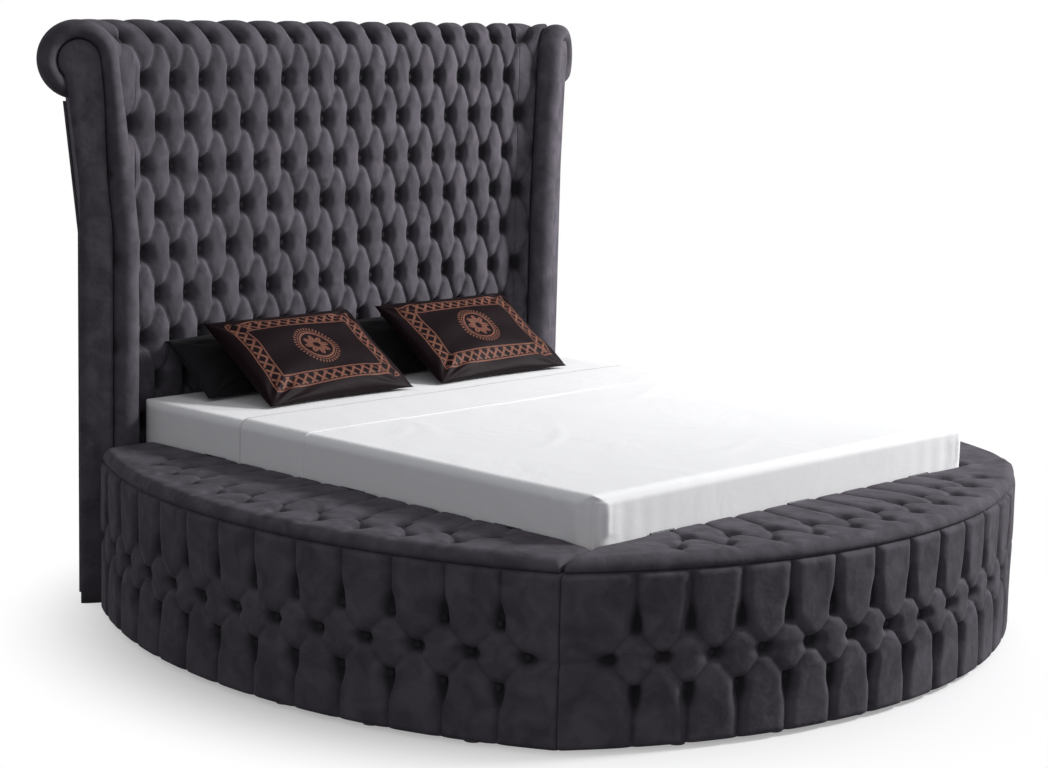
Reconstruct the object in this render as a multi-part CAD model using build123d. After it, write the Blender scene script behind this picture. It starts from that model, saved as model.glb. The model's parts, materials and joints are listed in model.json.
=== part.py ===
from build123d import *
from math import asin, atan2, cos, degrees, hypot, radians, sin, sqrt, tan
import os

# Round upholstered bed. Millimetres, +Z up, -Y towards the foot, +X to the right
# of someone who stands at the foot and looks at the headboard.
# The plan is first drawn round the middle of the round base, and every piece is
# then moved along Y so that the origin lies under the middle of the whole bed.

# Sizes shared by many pieces
seat_gap = 0.3
overrun = 2
board = 15
glide_height = 12
glide_radius = 26

# Mattress and the room left round it
mattress_width = 1790
mattress_length = 1990
mattress_height = 226
mattress_top = 663
mattress_corner = 60
mattress_edge = 26
mattress_behind_middle = 55
mattress_room = 13
mattress_from_head = 35

# Plan of the base: three flat bows that meet at the foot corners
bench_corner_across = 172
bench_corner_along = 48
foot_bow = 359
side_bow = 281
bench_rear_from_head = 120
joint_gap = 0.3

# Bench bodies
inner_wall = 18
wall_top = 498
wall_pad = 46
wall_pad_swell = 10
wall_pad_edge = 20
bench_floor_up = 14
wall_pleat_depth = 20
wall_pleat_half = 9
pleat_from_tuft = 6
wall_tuft_radius = 40
wall_tuft_depth = 34
wall_upper_row = 340
wall_middle_row = 256
wall_lower_row = 165
foot_tufts = 13
side_tufts = 12
foot_tuft_end_room = 117.9
side_tuft_end_room = 92.8

# Lids
lid_board = 12
lid_under = 500
lid_top = 538
lid_rim_out = 4
lid_rim_edge = 24
lid_inner_edge = 8
lid_end_gap = 5.7
lid_board_inset = 14
lid_from_axis = 5
lid_tuft_radius = 30
lid_tuft_depth = 16
lid_inner_row = 62
lid_row_step = 96

# Buttons and the recess they sit in
button_radius = 11
button_thick = 7
recess_clearance = 1.2

# Lid hinges
hinge_drop = 3
barrel_radius = 3.5
leaf = 2
leaf_from_axis = 2.5
fixed_leaf_depth = 110
moving_leaf_depth = 34
knuckle = 20
knuckle_count = 5
knuckle_gap = 0.5
knuckle_relief = 0.8
pin_radius = 1.6
pin_clearance = 0.2
side_hinge_pitch = 640
foot_hinge_pitch = 620

# Deck under the mattress
slat = 18
slat_width = 90
slat_count = 13
slat_end_gap = 6
ledge_width = 25
ledge_height = 40
ledge_end_gap = 20
beam_width = 40
beam_height = 60
leg_radius = 22
leg_count = 3
tie_width = 40
tie_height = 100
tie_bottom = 200
tie_overlap = 260
bolt_radius = 4
bolt_head_radius = 9
bolt_head = 5
bolt_clearance = 0.4
bolt_pitch = 120

# Headboard: upright tufted face with a roll along its top
head_corner_inside = 10
head_pad = 65
head_core = 38
head_cover = 12
head_pad_bottom = 430
roll_radius = 125
roll_axis_z = 1755
roll_former = 42
head_tuft_depth = 39
head_tuft_radius = 41
head_corner_column = 7.481
head_tuft_rows = 9
head_row_step = 140
head_first_row = 1688
head_roll_row_angle = 46
back_cover_gap = 8

# Wings: short splayed posts with an outward scroll on top
wing_splay = 30
wing_length = 137
wing_thick = 170
wing_pad = 45
wing_flare = 64
wing_flare_start = 1200
border_radius = 44
panel_thick = 12
panel_back = 8
panel_head_radius = 42
panel_neck = 50
panel_neck_out = 20
wing_cover = 4
wing_core_back = 60
wing_core_top = 1610
wing_glide_along = 20
wing_tuft_along = 26
wing_tuft_radius = 20
wing_tuft_depth = 20
scroll_end_angle = 55
border_knee = 200

# Bedding
fitted_sheet = 1.5
top_sheet = 2.5
top_sheet_from_head = 552
fold_band = 300
sheet_hem = 470
front_pillow_width_share = 0.352
front_pillow_depth = 415
front_pillow_thick = 110
back_pillow_width_share = 0.413
back_pillow_depth = 280
back_pillow_thick = 102
pillow_draw_in = 20
front_pillow_tilt = 34
back_pillow_tilt = 36
front_pillow_gap = 130
back_pillow_gap = 50
front_pillow_from_head = 458
pillow_level_shares = (-1, -0.66, 0, 0.66, 1)
pillow_size_shares = (0.42, 0.82, 1, 0.82, 0.42)


def bow_radius(half_chord, bow):
    """Radius of the arc that has this half chord and this rise."""
    return (half_chord**2 + bow**2) / (2 * bow)


# Values that follow from the sizes above
wall_x = mattress_width / 2 + mattress_room
wall_y = mattress_length / 2 - mattress_behind_middle + mattress_room
corner_x = wall_x + bench_corner_across
corner_y = wall_y + bench_corner_along
head_crown_y = mattress_length / 2 + mattress_behind_middle + mattress_from_head
head_corner_x = mattress_width / 2 - head_corner_inside
head_tuft_pitch = head_corner_x / head_corner_column
bench_rear = head_crown_y - bench_rear_from_head
front_pillow_width = mattress_width * front_pillow_width_share
back_pillow_width = mattress_width * back_pillow_width_share
side_radius = bow_radius(corner_y, side_bow)
foot_radius = bow_radius(corner_x, foot_bow)
side_centre = (side_radius - corner_x - side_bow, 0)
foot_centre = (0, foot_radius - corner_y - foot_bow)
mitre_run = hypot(corner_x - wall_x, corner_y - wall_y)
mitre = Vector((wall_x - corner_x) / mitre_run, (wall_y - corner_y) / mitre_run)
mitre_normal = Vector(mitre.Y, -mitre.X)
plan_reach = corner_x
front_reach = corner_y + foot_bow + wall_pad_swell
back_reach = head_crown_y + 2 * roll_radius
to_middle = (front_reach - back_reach) / 2
hinge_z = lid_top - hinge_drop
recess_radius = button_radius + recess_clearance
mattress_bottom = mattress_top - mattress_height
slat_top = mattress_bottom - fitted_sheet - 2 * seat_gap
roll_axis_y = head_crown_y + roll_radius
button_plane_y = head_crown_y + head_tuft_depth
core_front_y = head_crown_y + head_pad
core_back_y = core_front_y + head_core
head_core_top = roll_axis_z - roll_radius / 2
scroll_x = wing_flare + roll_radius
scroll_sweep = roll_radius - border_radius
scroll_former = scroll_sweep - border_radius - seat_gap
panel_from_roll = border_radius - panel_back - panel_thick
panel_beside_roll = sqrt(border_radius**2 - panel_from_roll**2) + seat_gap


def block(x0, x1, y0, y1, z0, z1):
    """Box between two corners."""
    middle = ((x0 + x1) / 2, (y0 + y1) / 2, (z0 + z1) / 2)
    return Pos(*middle) * Box(abs(x1 - x0), abs(y1 - y0), abs(z1 - z0))


def mitre_point(inset, x=None, y=None):
    """Point of the left foot mitre, moved by inset towards the head, at x or y."""
    base = Vector(-wall_x, -wall_y) + mitre_normal * inset
    along = (x - base.X) / mitre.X if x is not None else (y - base.Y) / mitre.Y
    return base + mitre * along


def flat(points):
    """Face with straight sides through plan points."""
    return make_face(Polyline([(p.X, p.Y) if isinstance(p, Vector) else p for p in points], close=True))


def side_zone(inner_x, mitre_inset, rear_inset):
    """Plan ground of the left bench, open outwards, between its mitre and its rear end."""
    start = mitre_point(mitre_inset, x=-inner_x)
    outer = start + mitre * plan_reach
    rear = bench_rear - rear_inset
    return flat([start, outer, (outer.X, rear), (-inner_x, rear)])


def foot_zone(inner_y, mitre_inset):
    """Plan ground of the foot bench, open outwards, between its two mitres."""
    start = mitre_point(-mitre_inset, y=-inner_y)
    outer = start + mitre * plan_reach
    front = -plan_reach - corner_y
    half = [start, outer, Vector(outer.X, front)]
    other = [Vector(-p.X, p.Y) for p in reversed(half)]
    return flat(half + other)


def disc(centre, radius):
    return Pos(*centre) * Circle(radius)


def upright(face, z0, z1):
    """Plan face raised between two heights."""
    return Pos(0, 0, z0) * extrude(face, amount=z1 - z0)


def to_right(shape):
    return mirror(shape, about=Plane.YZ)


class Segment:
    """One of the three benches: its arc, its ground and the angles of its tufts."""

    def __init__(self, name):
        self.name = name
        side = name == "left"
        self.centre = side_centre if side else foot_centre
        self.radius = side_radius if side else foot_radius
        self.outward = 180 if side else -90
        self.tufts = side_tufts if side else foot_tufts
        self.inner = wall_x if side else wall_y
        half_chord = corner_y if side else corner_x
        end_room = side_tuft_end_room if side else foot_tuft_end_room
        arc = 2 * self.radius * asin(half_chord / self.radius)
        self.pitch = (arc - 2 * end_room) / self.tufts

    def zone(self, inner, mitre_inset, rear_inset):
        if self.name == "left":
            return side_zone(inner, mitre_inset, rear_inset)
        return foot_zone(inner, mitre_inset)

    def ring(self, outer, inner, end_inset):
        band = disc(self.centre, outer) - disc(self.centre, inner)
        return band & self.zone(self.inner, end_inset, end_inset)

    def field(self, outer, inner_step, mitre_inset, rear_inset):
        return disc(self.centre, outer) & self.zone(self.inner + inner_step, mitre_inset, rear_inset)

    def angles(self, count, every=1):
        """Directions of count tufts, or of every second one, about the middle of the bench."""
        step = degrees(self.pitch / self.radius) * every
        return [self.outward + step * (i - (count - 1) / 2) for i in range(count)]

    def spot(self, angle, radius, z):
        a = radians(angle)
        return Vector(self.centre[0] + radius * cos(a), self.centre[1] + radius * sin(a), z)


def tuft_cut(seat, direction, depth, radius):
    """Cone that a pulled-in button leaves, with a straight recess for the button."""
    frame = Plane(origin=seat, z_dir=direction)
    low = (Align.CENTER, Align.CENTER, Align.MIN)
    recess = Cylinder(recess_radius, button_thick + overrun, align=low)
    reach = depth + overrun - button_thick
    grown = recess_radius + (radius - recess_radius) * reach / (depth - button_thick)
    cone = Cone(recess_radius, grown, reach, align=low)
    return frame * (recess + Pos(0, 0, button_thick) * cone)


def button_on(seat, direction):
    low = (Align.CENTER, Align.CENTER, Align.MIN)
    button = Cylinder(button_radius, button_thick, align=low)
    return Plane(origin=seat, z_dir=direction) * Pos(0, 0, seat_gap) * button


def wall_rows(segment):
    """Seats of the wall buttons: two full rows and a staggered row with one more."""
    seat_radius = segment.radius + wall_pad_swell - wall_tuft_depth
    full = segment.angles(segment.tufts)
    staggered = segment.angles(segment.tufts + 1)
    rows = [(full, wall_upper_row), (staggered, wall_middle_row), (full, wall_lower_row)]
    return [(angle, segment.spot(angle, seat_radius, z)) for angles, z in rows for angle in angles]


def outward_dir(angle):
    return Vector(cos(radians(angle)), sin(radians(angle)), 0)


def wall_cover(segment):
    """Tufted cover of a bench wall, with vertical pleats above and below the buttons."""
    crown = segment.radius + wall_pad_swell
    face = segment.ring(crown, segment.radius - wall_pad + seat_gap, joint_gap / 2)
    pad = upright(face, glide_height, wall_top - seat_gap)
    rims = [e for e in pad.edges().filter_by(GeomType.CIRCLE) if abs(e.radius - crown) < overrun]
    pad = fillet(rims, wall_pad_edge)
    half = wall_pleat_half
    mouth = crown + overrun
    groove = flat([(mouth, -half), (mouth, half), (crown - wall_pleat_depth, 0)])
    start = wall_tuft_radius + pleat_from_tuft
    spans = ((wall_upper_row + start, wall_top + overrun), (glide_height - overrun, wall_lower_row - start))
    pleats = []
    for angle in segment.angles(segment.tufts):
        for z0, z1 in spans:
            turned = Pos(*segment.centre) * Rot(0, 0, angle) * groove
            pleats.append(upright(turned, z0, z1))
    tufts = []
    for angle, seat in wall_rows(segment):
        tufts.append(tuft_cut(seat, outward_dir(angle), wall_tuft_depth, wall_tuft_radius))
    return pad.cut(*pleats).cut(*tufts)


def wall_buttons(segment):
    return [button_on(seat, outward_dir(angle)) for angle, seat in wall_rows(segment)]


def wall_board(segment):
    outer = segment.radius - wall_pad
    return upright(segment.ring(outer, outer - board, joint_gap / 2), glide_height, wall_top - seat_gap)


def bench_floor(segment):
    reach = segment.radius - wall_pad - board - seat_gap
    face = segment.field(reach, inner_wall + seat_gap, board + joint_gap, board + joint_gap)
    low = glide_height + bench_floor_up
    return upright(face, low, low + board)


def bench_ends(segment):
    """End boards of a bench: at its mitres, and for a side bench at its rear end."""
    reach = segment.radius - wall_pad - board - seat_gap
    whole = segment.field(reach, inner_wall + seat_gap, joint_gap / 2, joint_gap / 2)
    inset = board + joint_gap / 2
    inside = segment.field(reach + overrun, inner_wall - overrun, inset, inset)
    return upright(whole - inside, glide_height, wall_top - seat_gap)


def inner_board(segment):
    """Straight wall between a bench and the mattress."""
    outer = wall_x + inner_wall
    if segment.name == "left":
        return block(-outer, -wall_x, -wall_y, bench_rear, glide_height, wall_top)
    near = -wall_y - seat_gap
    return block(-outer, outer, near - inner_wall, near, glide_height, wall_top)


def lid_plate(segment):
    reach = segment.radius - lid_board_inset
    face = segment.field(reach, lid_from_axis, lid_board_inset, lid_board_inset)
    return upright(face, lid_under, lid_under + lid_board)


def lid_rows(segment):
    """Seats of the lid buttons: a staggered inner row and an outer row that follows the rim."""
    seat_z = lid_top - lid_tuft_depth
    seats = []
    for angle in segment.angles(segment.tufts - 2):
        seats.append(segment.spot(angle, segment.radius - lid_row_step, seat_z))
    for angle in segment.angles(segment.tufts - 1):
        seats.append(segment.spot(angle, segment.radius - 2 * lid_row_step, seat_z))
    if segment.name == "left":
        return [s for s in seats if -s.X - wall_x > lid_inner_row]
    return [s for s in seats if -s.Y - wall_y > lid_inner_row]


def lid_cover(segment):
    """Stuffed cover of a lid: rounded rim, pulled-in buttons, hollow below for the board."""
    rim = segment.radius + lid_rim_out
    face = segment.field(rim, lid_from_axis, lid_end_gap, lid_end_gap)
    under = wall_top + 2 * seat_gap
    pad = upright(face, under, lid_top)
    top = pad.faces().sort_by(Axis.Z)[-1]
    pad = fillet(top.edges().filter_by(GeomType.CIRCLE), lid_rim_edge)
    top = pad.faces().sort_by(Axis.Z)[-1]
    pad = fillet(top.edges().filter_by(GeomType.LINE), lid_inner_edge)
    inset = lid_board_inset - seat_gap
    hollow = segment.field(segment.radius - inset, -overrun, inset, inset)
    cuts = [upright(hollow, under - overrun, lid_under + lid_board + seat_gap)]
    for seat in lid_rows(segment):
        cuts.append(tuft_cut(seat, Vector(0, 0, 1), lid_tuft_depth, lid_tuft_radius))
    return pad.cut(*cuts)


def lid_buttons(segment):
    return [button_on(seat, Vector(0, 0, 1)) for seat in lid_rows(segment)]


def hinge_pieces():
    """Butt hinge with its axis along X at the origin; the lid side is towards +Y."""
    span = knuckle * knuckle_count
    tube = Rot(0, 90, 0) * Cylinder(barrel_radius, knuckle - knuckle_gap)
    bore = Rot(0, 90, 0) * Cylinder(pin_radius + pin_clearance, span + overrun)
    fixed = block(-span / 2, span / 2, -seat_gap - leaf, -seat_gap, -fixed_leaf_depth, 0)
    moving = block(-span / 2, span / 2, leaf_from_axis, leaf_from_axis + leaf, -moving_leaf_depth, 0)
    clear = barrel_radius + knuckle_relief
    for i in range(knuckle_count):
        x = (i - (knuckle_count - 1) / 2) * knuckle
        half = knuckle / 2
        window = block(x - half, x + half, -clear - leaf, clear + leaf, -clear, overrun)
        if i % 2 == 0:
            moving = moving - window
            fixed = fixed + Pos(x, 0, 0) * tube
        else:
            fixed = fixed - window
            near = half - knuckle_gap / 2
            web = block(x - near, x + near, 0, leaf_from_axis + leaf, -barrel_radius, 0)
            low = block(x - half, x - near, 0, clear + leaf, -clear, overrun)
            high = block(x + near, x + half, 0, clear + leaf, -clear, overrun)
            moving = moving - low - high + Pos(x, 0, 0) * tube + web
    pin = Rot(0, 90, 0) * Cylinder(pin_radius, span)
    return fixed - bore, moving - bore, pin


def hinge_places(name):
    """Where the three hinges of a lid stand, turned so that +Y points to the lid."""
    steps = (-1, 0, 1)
    if name == "left":
        middle = (bench_rear - wall_y) / 2
        spots = [Pos(-wall_x, middle + side_hinge_pitch * i, hinge_z) for i in steps]
        return [spot * Rot(0, 0, 90) for spot in spots]
    return [Pos(foot_hinge_pitch * i, -wall_y, hinge_z) * Rot(0, 0, 180) for i in steps]


def deck():
    """Ledges on the side walls, slats across them, a middle beam and its legs."""
    middle = mattress_behind_middle
    y0 = -wall_y + ledge_end_gap
    y1 = bench_rear - seat_gap
    ledge_top = slat_top - slat - seat_gap
    ledges = []
    for side in (-1, 1):
        x_wall = side * (wall_x - seat_gap)
        x_free = side * (wall_x - ledge_width)
        ledges.append(block(x_wall, x_free, y0, y1, ledge_top - ledge_height, ledge_top))
    length = wall_x - slat_end_gap
    first = -mattress_length / 2 + middle + slat_width
    step = (mattress_length - 2 * slat_width) / (slat_count - 1)
    slats = []
    for i in range(slat_count):
        y = first + step * i
        half = slat_width / 2
        slats.append(block(-length, length, y - half, y + half, slat_top - slat, slat_top))
    under = ledge_top - beam_height
    half = beam_width / 2
    beam = block(-half, half, -wall_y + seat_gap, core_front_y - seat_gap, under, ledge_top)
    leg_height = under - seat_gap
    low = (Align.CENTER, Align.CENTER, Align.MIN)
    legs = []
    for i in range(leg_count):
        y = middle + (i - (leg_count - 1) / 2) * mattress_length / leg_count
        legs.append(Pos(0, y, 0) * Cylinder(leg_radius, leg_height, align=low))
    return ledges, slats, beam, legs


def tie_rails():
    """Rails that run from the side walls to the headboard, and the bolts that hold them."""
    rails = []
    bolts = []
    bores = []
    z = tie_bottom + tie_height / 2
    for side in (-1, 1):
        x_wall = side * (wall_x - seat_gap)
        x_free = side * (wall_x - seat_gap - tie_width)
        start = bench_rear - tie_overlap
        top = tie_bottom + tie_height
        rail = block(x_wall, x_free, start, core_front_y - seat_gap, tie_bottom, top)
        for i in (0.5, 1.5):
            y = bench_rear - bolt_pitch * i
            shank = tie_width + inner_wall + seat_gap
            along = Pos(side * (wall_x + inner_wall - shank / 2), y, z) * Rot(0, 90, 0)
            bores.append(along * Cylinder(bolt_radius + bolt_clearance, shank + 2 * overrun))
            head = Rot(0, 90, 0) * Cylinder(bolt_head_radius, bolt_head)
            head = Pos(x_free - side * bolt_head / 2, y, z) * head
            bolts.append(along * Cylinder(bolt_radius, shank) + head)
        rails.append(rail.cut(*bores))
    return rails, bolts, bores


def glides():
    """Round glides under the bench walls and the headboard."""
    low = (Align.CENTER, Align.CENTER, Align.MIN)
    glide = Cylinder(glide_radius, glide_height - seat_gap, align=low)
    places = []
    for segment in (Segment("left"), Segment("foot")):
        ring = segment.radius - wall_pad - board / 2
        for angle in segment.angles(segment.tufts // 2, 2):
            spot = segment.spot(angle, ring, 0)
            places.append((spot.X, spot.Y))
            if segment.name == "left":
                places.append((-spot.X, spot.Y))
    for side in (-1, 1):
        places.append((side * (wall_x + inner_wall / 2), bench_rear - 2 * glide_radius))
        places.append((side * (wall_x + inner_wall / 2), 0))
        places.append((side * head_corner_x / 2, core_front_y + head_core / 2))
        wing = wing_point(wing_glide_along, (wing_pad + wing_thick) / 2)
        places.append((side * wing.X, wing.Y))
    places.append((0, -wall_y - inner_wall / 2))
    return [Pos(x, y, 0) * glide for x, y in places]


def wing_point(along, out):
    """Plan point of the left wing from its inner crown corner."""
    a = radians(wing_splay)
    x = -head_corner_x - along * sin(a) - out * cos(a)
    y = head_crown_y - along * cos(a) + out * sin(a)
    return Vector(x, y)


def wing_frame(along):
    """Upright plane across the left wing: local x points outwards, local y up."""
    a = radians(wing_splay)
    origin = wing_point(along, 0)
    return Plane(origin=(origin.X, origin.Y, 0), x_dir=(-cos(a), sin(a), 0), z_dir=(sin(a), cos(a), 0))


def corner_line(y, inset):
    """Half width of the headboard face at y, where the mitre with the wing cuts it."""
    return head_corner_x + (y - head_crown_y) * tan(radians(wing_splay)) - inset


def between_wings(y0, y1, inset):
    """Plan ground of the headboard between the two wing mitres."""
    a = corner_line(y0, inset)
    b = corner_line(y1, inset)
    return flat([(-a, y0), (a, y0), (b, y1), (-b, y1)])


def head_rows():
    """Seats of the headboard buttons, in staggered rows, the first one on the roll."""
    turn = radians(head_roll_row_angle)
    radius = roll_radius - head_tuft_depth
    seats = []
    count = int(2 * head_corner_x / head_tuft_pitch) + 1
    for i in range(count + 1):
        x = (i - count / 2) * head_tuft_pitch
        if abs(x) < head_corner_x - head_tuft_radius:
            seat = Vector(x, roll_axis_y - radius * cos(turn), roll_axis_z + radius * sin(turn))
            seats.append((seat, Vector(0, -cos(turn), sin(turn))))
    for row in range(head_tuft_rows):
        columns = count if row % 2 == 0 else count + 1
        for i in range(columns):
            x = (i - (columns - 1) / 2) * head_tuft_pitch
            if abs(x) < head_corner_x - head_tuft_radius:
                seat = Vector(x, button_plane_y, head_first_row - head_row_step * row)
                seats.append((seat, Vector(0, -1, 0)))
    return seats


def head_roll(radius):
    """Cylinder along the top of the headboard, cut at the two wing mitres."""
    low = roll_axis_z - roll_radius - overrun
    high = roll_axis_z + roll_radius + overrun
    limits = upright(between_wings(head_crown_y, back_reach, joint_gap / 2), low, high)
    long = 2 * corner_line(back_reach, 0)
    return Pos(0, roll_axis_y, roll_axis_z) * Rot(0, 90, 0) * Cylinder(radius, long) & limits


def head_cushion():
    """Tufted face of the headboard and the roll over its top, hollow for the former."""
    face = between_wings(head_crown_y, core_front_y - seat_gap, joint_gap / 2)
    slab = upright(face, head_pad_bottom, roll_axis_z)
    behind = between_wings(core_front_y - seat_gap, core_back_y + head_cover, -overrun)
    core = upright(behind, head_pad_bottom, head_core_top + seat_gap)
    long = 2 * corner_line(back_reach, 0)
    bore = Rot(0, 90, 0) * Cylinder(roll_former + seat_gap, long)
    pad = slab + head_roll(roll_radius) - core - Pos(0, roll_axis_y, roll_axis_z) * bore
    tufts = [tuft_cut(seat, way, head_tuft_depth, head_tuft_radius) for seat, way in head_rows()]
    return pad.cut(*tufts)


def head_board():
    plan = between_wings(core_front_y, core_back_y, joint_gap / 2)
    return upright(plan, glide_height, head_core_top)


def head_back_cover():
    """Cover over the back of the headboard and of both wing cores."""
    edge = wing_thick + seat_gap + wing_cover
    top = roll_axis_z - roll_radius - back_cover_gap
    low = -wing_point_at(core_back_y, edge).X
    high = -wing_point_at(core_back_y, edge + lean_at(top)).X
    outline = Polyline([(-low, glide_height), (low, glide_height), (low, wing_flare_start), (high, top),
                        (-high, top), (-low, wing_flare_start)], close=True)
    face = Plane(origin=(0, core_back_y + head_cover, 0), x_dir=(1, 0, 0), z_dir=(0, -1, 0)) * make_face(outline)
    return extrude(face, amount=head_cover - seat_gap)


def wing_point_at(y, out):
    """Plan point of the left wing at a given y and distance from its inner face."""
    a = radians(wing_splay)
    along = (head_crown_y + out * sin(a) - y) / cos(a)
    return wing_point(along, out)


def behind_mitre(z0, z1, y1):
    """Ground on the wing's side of the mitre between wing and headboard, up to y1."""
    start = head_crown_y - roll_radius
    near = Vector(-corner_line(start, -joint_gap / 2), start)
    far = Vector(-corner_line(y1, -joint_gap / 2), y1)
    out = -corner_x - roll_radius
    return upright(flat([near, far, (out, y1), (out, near.Y - wing_length)]), z0, z1)


def scroll_touch():
    """Section point where the leaning border roll meets its bend over the scroll."""
    dx = scroll_x - border_radius
    dz = roll_axis_z - wing_flare_start
    reach = hypot(dx, dz)
    heading = atan2(dz, dx) + asin(scroll_sweep / reach)
    run = sqrt(reach**2 - scroll_sweep**2)
    return (border_radius + run * cos(heading), wing_flare_start + run * sin(heading))


def lean_at(z):
    """How far the wing has leant outwards at a height above its flare."""
    touch = scroll_touch()
    return (touch[0] - border_radius) * (z - wing_flare_start) / (touch[1] - wing_flare_start)


def leaning_section(inner, outer, top):
    """Wing section from the glides to top, both its faces leaning above the flare."""
    return flat([(inner, glide_height), (outer, glide_height), (outer, wing_flare_start),
                 (outer + lean_at(top), top), (inner + lean_at(top), top), (inner, wing_flare_start)])


def wing_cushion():
    """Tufted cover of the left wing behind its border roll, with the scroll on top."""
    top = wing_core_top + seat_gap
    section = flat([(0, head_pad_bottom), (wing_pad, head_pad_bottom), (wing_pad, wing_flare_start),
                    (wing_pad + lean_at(top), top), (wing_thick + lean_at(top), top),
                    (wing_thick + lean_at(top), roll_axis_z), (wing_flare, roll_axis_z), (0, wing_flare_start)])
    depth = wing_length - 2 * border_radius - seat_gap
    frame = wing_frame(depth)
    high = roll_axis_z + roll_radius + overrun
    reach = depth + 2 * roll_radius
    slab = extrude(frame * section, amount=reach) & behind_mitre(0, high, core_back_y)
    axis = Pos(scroll_x, roll_axis_z)
    scroll = extrude(frame * axis * Circle(roll_radius), amount=reach)
    bore = extrude(frame * axis * Circle(scroll_former + seat_gap), amount=reach)
    body = slab + (scroll & behind_mitre(0, high, back_reach)) - bore
    way = Vector(cos(radians(wing_splay)), -sin(radians(wing_splay)), 0)
    tufts = []
    for row in range(1, head_tuft_rows, 2):
        z = head_first_row - head_row_step * row
        seat = wing_point(wing_tuft_along, wing_tuft_depth)
        if z < wing_flare_start:
            tufts.append(tuft_cut(Vector(seat.X, seat.Y, z), way, wing_tuft_depth, wing_tuft_radius))
    return body.cut(*tufts)


def wing_core():
    """Upright core of the left wing, stepped to clear the border roll."""
    front = wing_length - panel_back - panel_thick - seat_gap
    step = wing_length - 2 * border_radius - seat_gap
    deep = leaning_section(2 * border_radius + 2 * seat_gap, wing_thick, wing_core_top)
    near = leaning_section(wing_pad + seat_gap, wing_thick, wing_core_top)
    whole = extrude(wing_frame(front) * deep, amount=front + wing_core_back)
    whole += extrude(wing_frame(step) * near, amount=step + wing_core_back)
    return whole & behind_mitre(0, roll_axis_z, core_back_y)


def wing_border():
    """Border roll up the front of the left wing and over its scroll."""
    frame = wing_frame(wing_length - border_radius)
    foot = (border_radius, glide_height)
    knee = (border_radius, wing_flare_start)
    touch = scroll_touch()
    start = degrees(atan2(touch[1] - roll_axis_z, touch[0] - scroll_x))
    bend = CenterArc((scroll_x, roll_axis_z), scroll_sweep, start, -scroll_end_angle - start)
    rise = FilletPolyline(foot, knee, touch, radius=border_knee)
    path = Wire([frame * edge for edge in [*rise.edges(), *bend.edges()]])
    return sweep(Plane(origin=path @ 0, z_dir=path % 0) * Circle(border_radius), path=path)


def wing_panel():
    """Flat front panel of the left wing, with a round head in the scroll."""
    top = roll_axis_z - roll_radius - seat_gap
    strip = leaning_section(border_radius + panel_beside_roll, wing_thick, top)
    far = scroll_x + panel_neck_out
    near = far - panel_neck
    neck = flat([(near, top - overrun), (far, top - overrun), (far, roll_axis_z - scroll_former),
                 (scroll_x, roll_axis_z), (near, roll_axis_z - scroll_former)])
    head = Pos(scroll_x, roll_axis_z) * Circle(panel_head_radius)
    return extrude(wing_frame(wing_length - panel_back) * (strip + head + neck), amount=panel_thick)


def wing_outer_cover():
    """Thin cover on the outer side of the left wing."""
    low = wing_thick + seat_gap
    front = wing_length - panel_back
    section = leaning_section(low, low + wing_cover, roll_axis_z - roll_radius - seat_gap)
    cover = extrude(wing_frame(front) * section, amount=front + wing_core_back)
    return cover & behind_mitre(0, roll_axis_z, core_back_y)


def wing_former():
    """Rod in the scroll of the left wing."""
    front = wing_length - panel_back - panel_thick - seat_gap
    section = wing_frame(front) * Pos(scroll_x, roll_axis_z) * Circle(scroll_former)
    rod = extrude(section, amount=front + 2 * roll_radius)
    return rod & behind_mitre(0, roll_axis_z + roll_radius, back_reach)


def rounded_block(half_x, y0, y1, z0, z1, corner, edge):
    """Box with round upright corners and softened top and bottom edges."""
    plan = Pos(0, (y0 + y1) / 2) * RectangleRounded(2 * half_x, y1 - y0, corner)
    body = upright(plan, z0, z1)
    level = body.faces().filter_by(Plane.XY)
    return fillet(level.edges(), edge)


def mattress_shape(grow):
    """The mattress, or the space of one that is larger all round by grow."""
    y0 = mattress_behind_middle - mattress_length / 2 - grow
    y1 = mattress_behind_middle + mattress_length / 2 + grow
    return rounded_block(mattress_width / 2 + grow, y0, y1, mattress_bottom - grow, mattress_top + grow,
                         mattress_corner + grow, mattress_edge + grow)


def fitted_cover():
    return mattress_shape(seat_gap + fitted_sheet) - mattress_shape(seat_gap)


def folded_sheet():
    """Top sheet over the foot of the mattress, its end folded back as a second layer."""
    inner = fitted_sheet + 2 * seat_gap
    far = 2 * mattress_length
    top_sheet_end = head_crown_y - top_sheet_from_head
    keep = block(-mattress_width, mattress_width, -far, top_sheet_end, sheet_hem, far)
    band = block(-mattress_width, mattress_width, top_sheet_end - fold_band, top_sheet_end, sheet_hem, far)
    single = (mattress_shape(inner + top_sheet) - mattress_shape(inner)) & keep
    double = (mattress_shape(inner + 2 * top_sheet) - mattress_shape(inner)) & band
    return single + double


def pillow(width, depth, thick):
    """Crowned pillow whose sides pull in between its corners."""
    sections = []
    for level, share in zip(pillow_level_shares, pillow_size_shares):
        x = width / 2 * share
        y = depth / 2 * share
        draw = pillow_draw_in * share
        outline = [ThreePointArc((-x, -y), (0, -y + draw), (x, -y)),
                   ThreePointArc((x, -y), (x - draw, 0), (x, y)),
                   ThreePointArc((x, y), (0, y - draw), (-x, y)),
                   ThreePointArc((-x, y), (-x + draw, 0), (-x, -y))]
        sections.append(Pos(0, 0, level * thick / 2) * make_face(outline))
    return loft(sections)


def laid_pillow(shape, tilt, x, near_y=None, far_y=None):
    """Pillow leant by tilt, its low edge on the bed, its near or far side at a given y."""
    leant = Rot(tilt, 0, 0) * shape
    box = leant.bounding_box()
    surface = mattress_top + fitted_sheet + 2 * seat_gap
    y = near_y - box.min.Y if near_y is not None else far_y - box.max.Y
    return Pos(x, y, surface - box.min.Z) * leant


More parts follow.
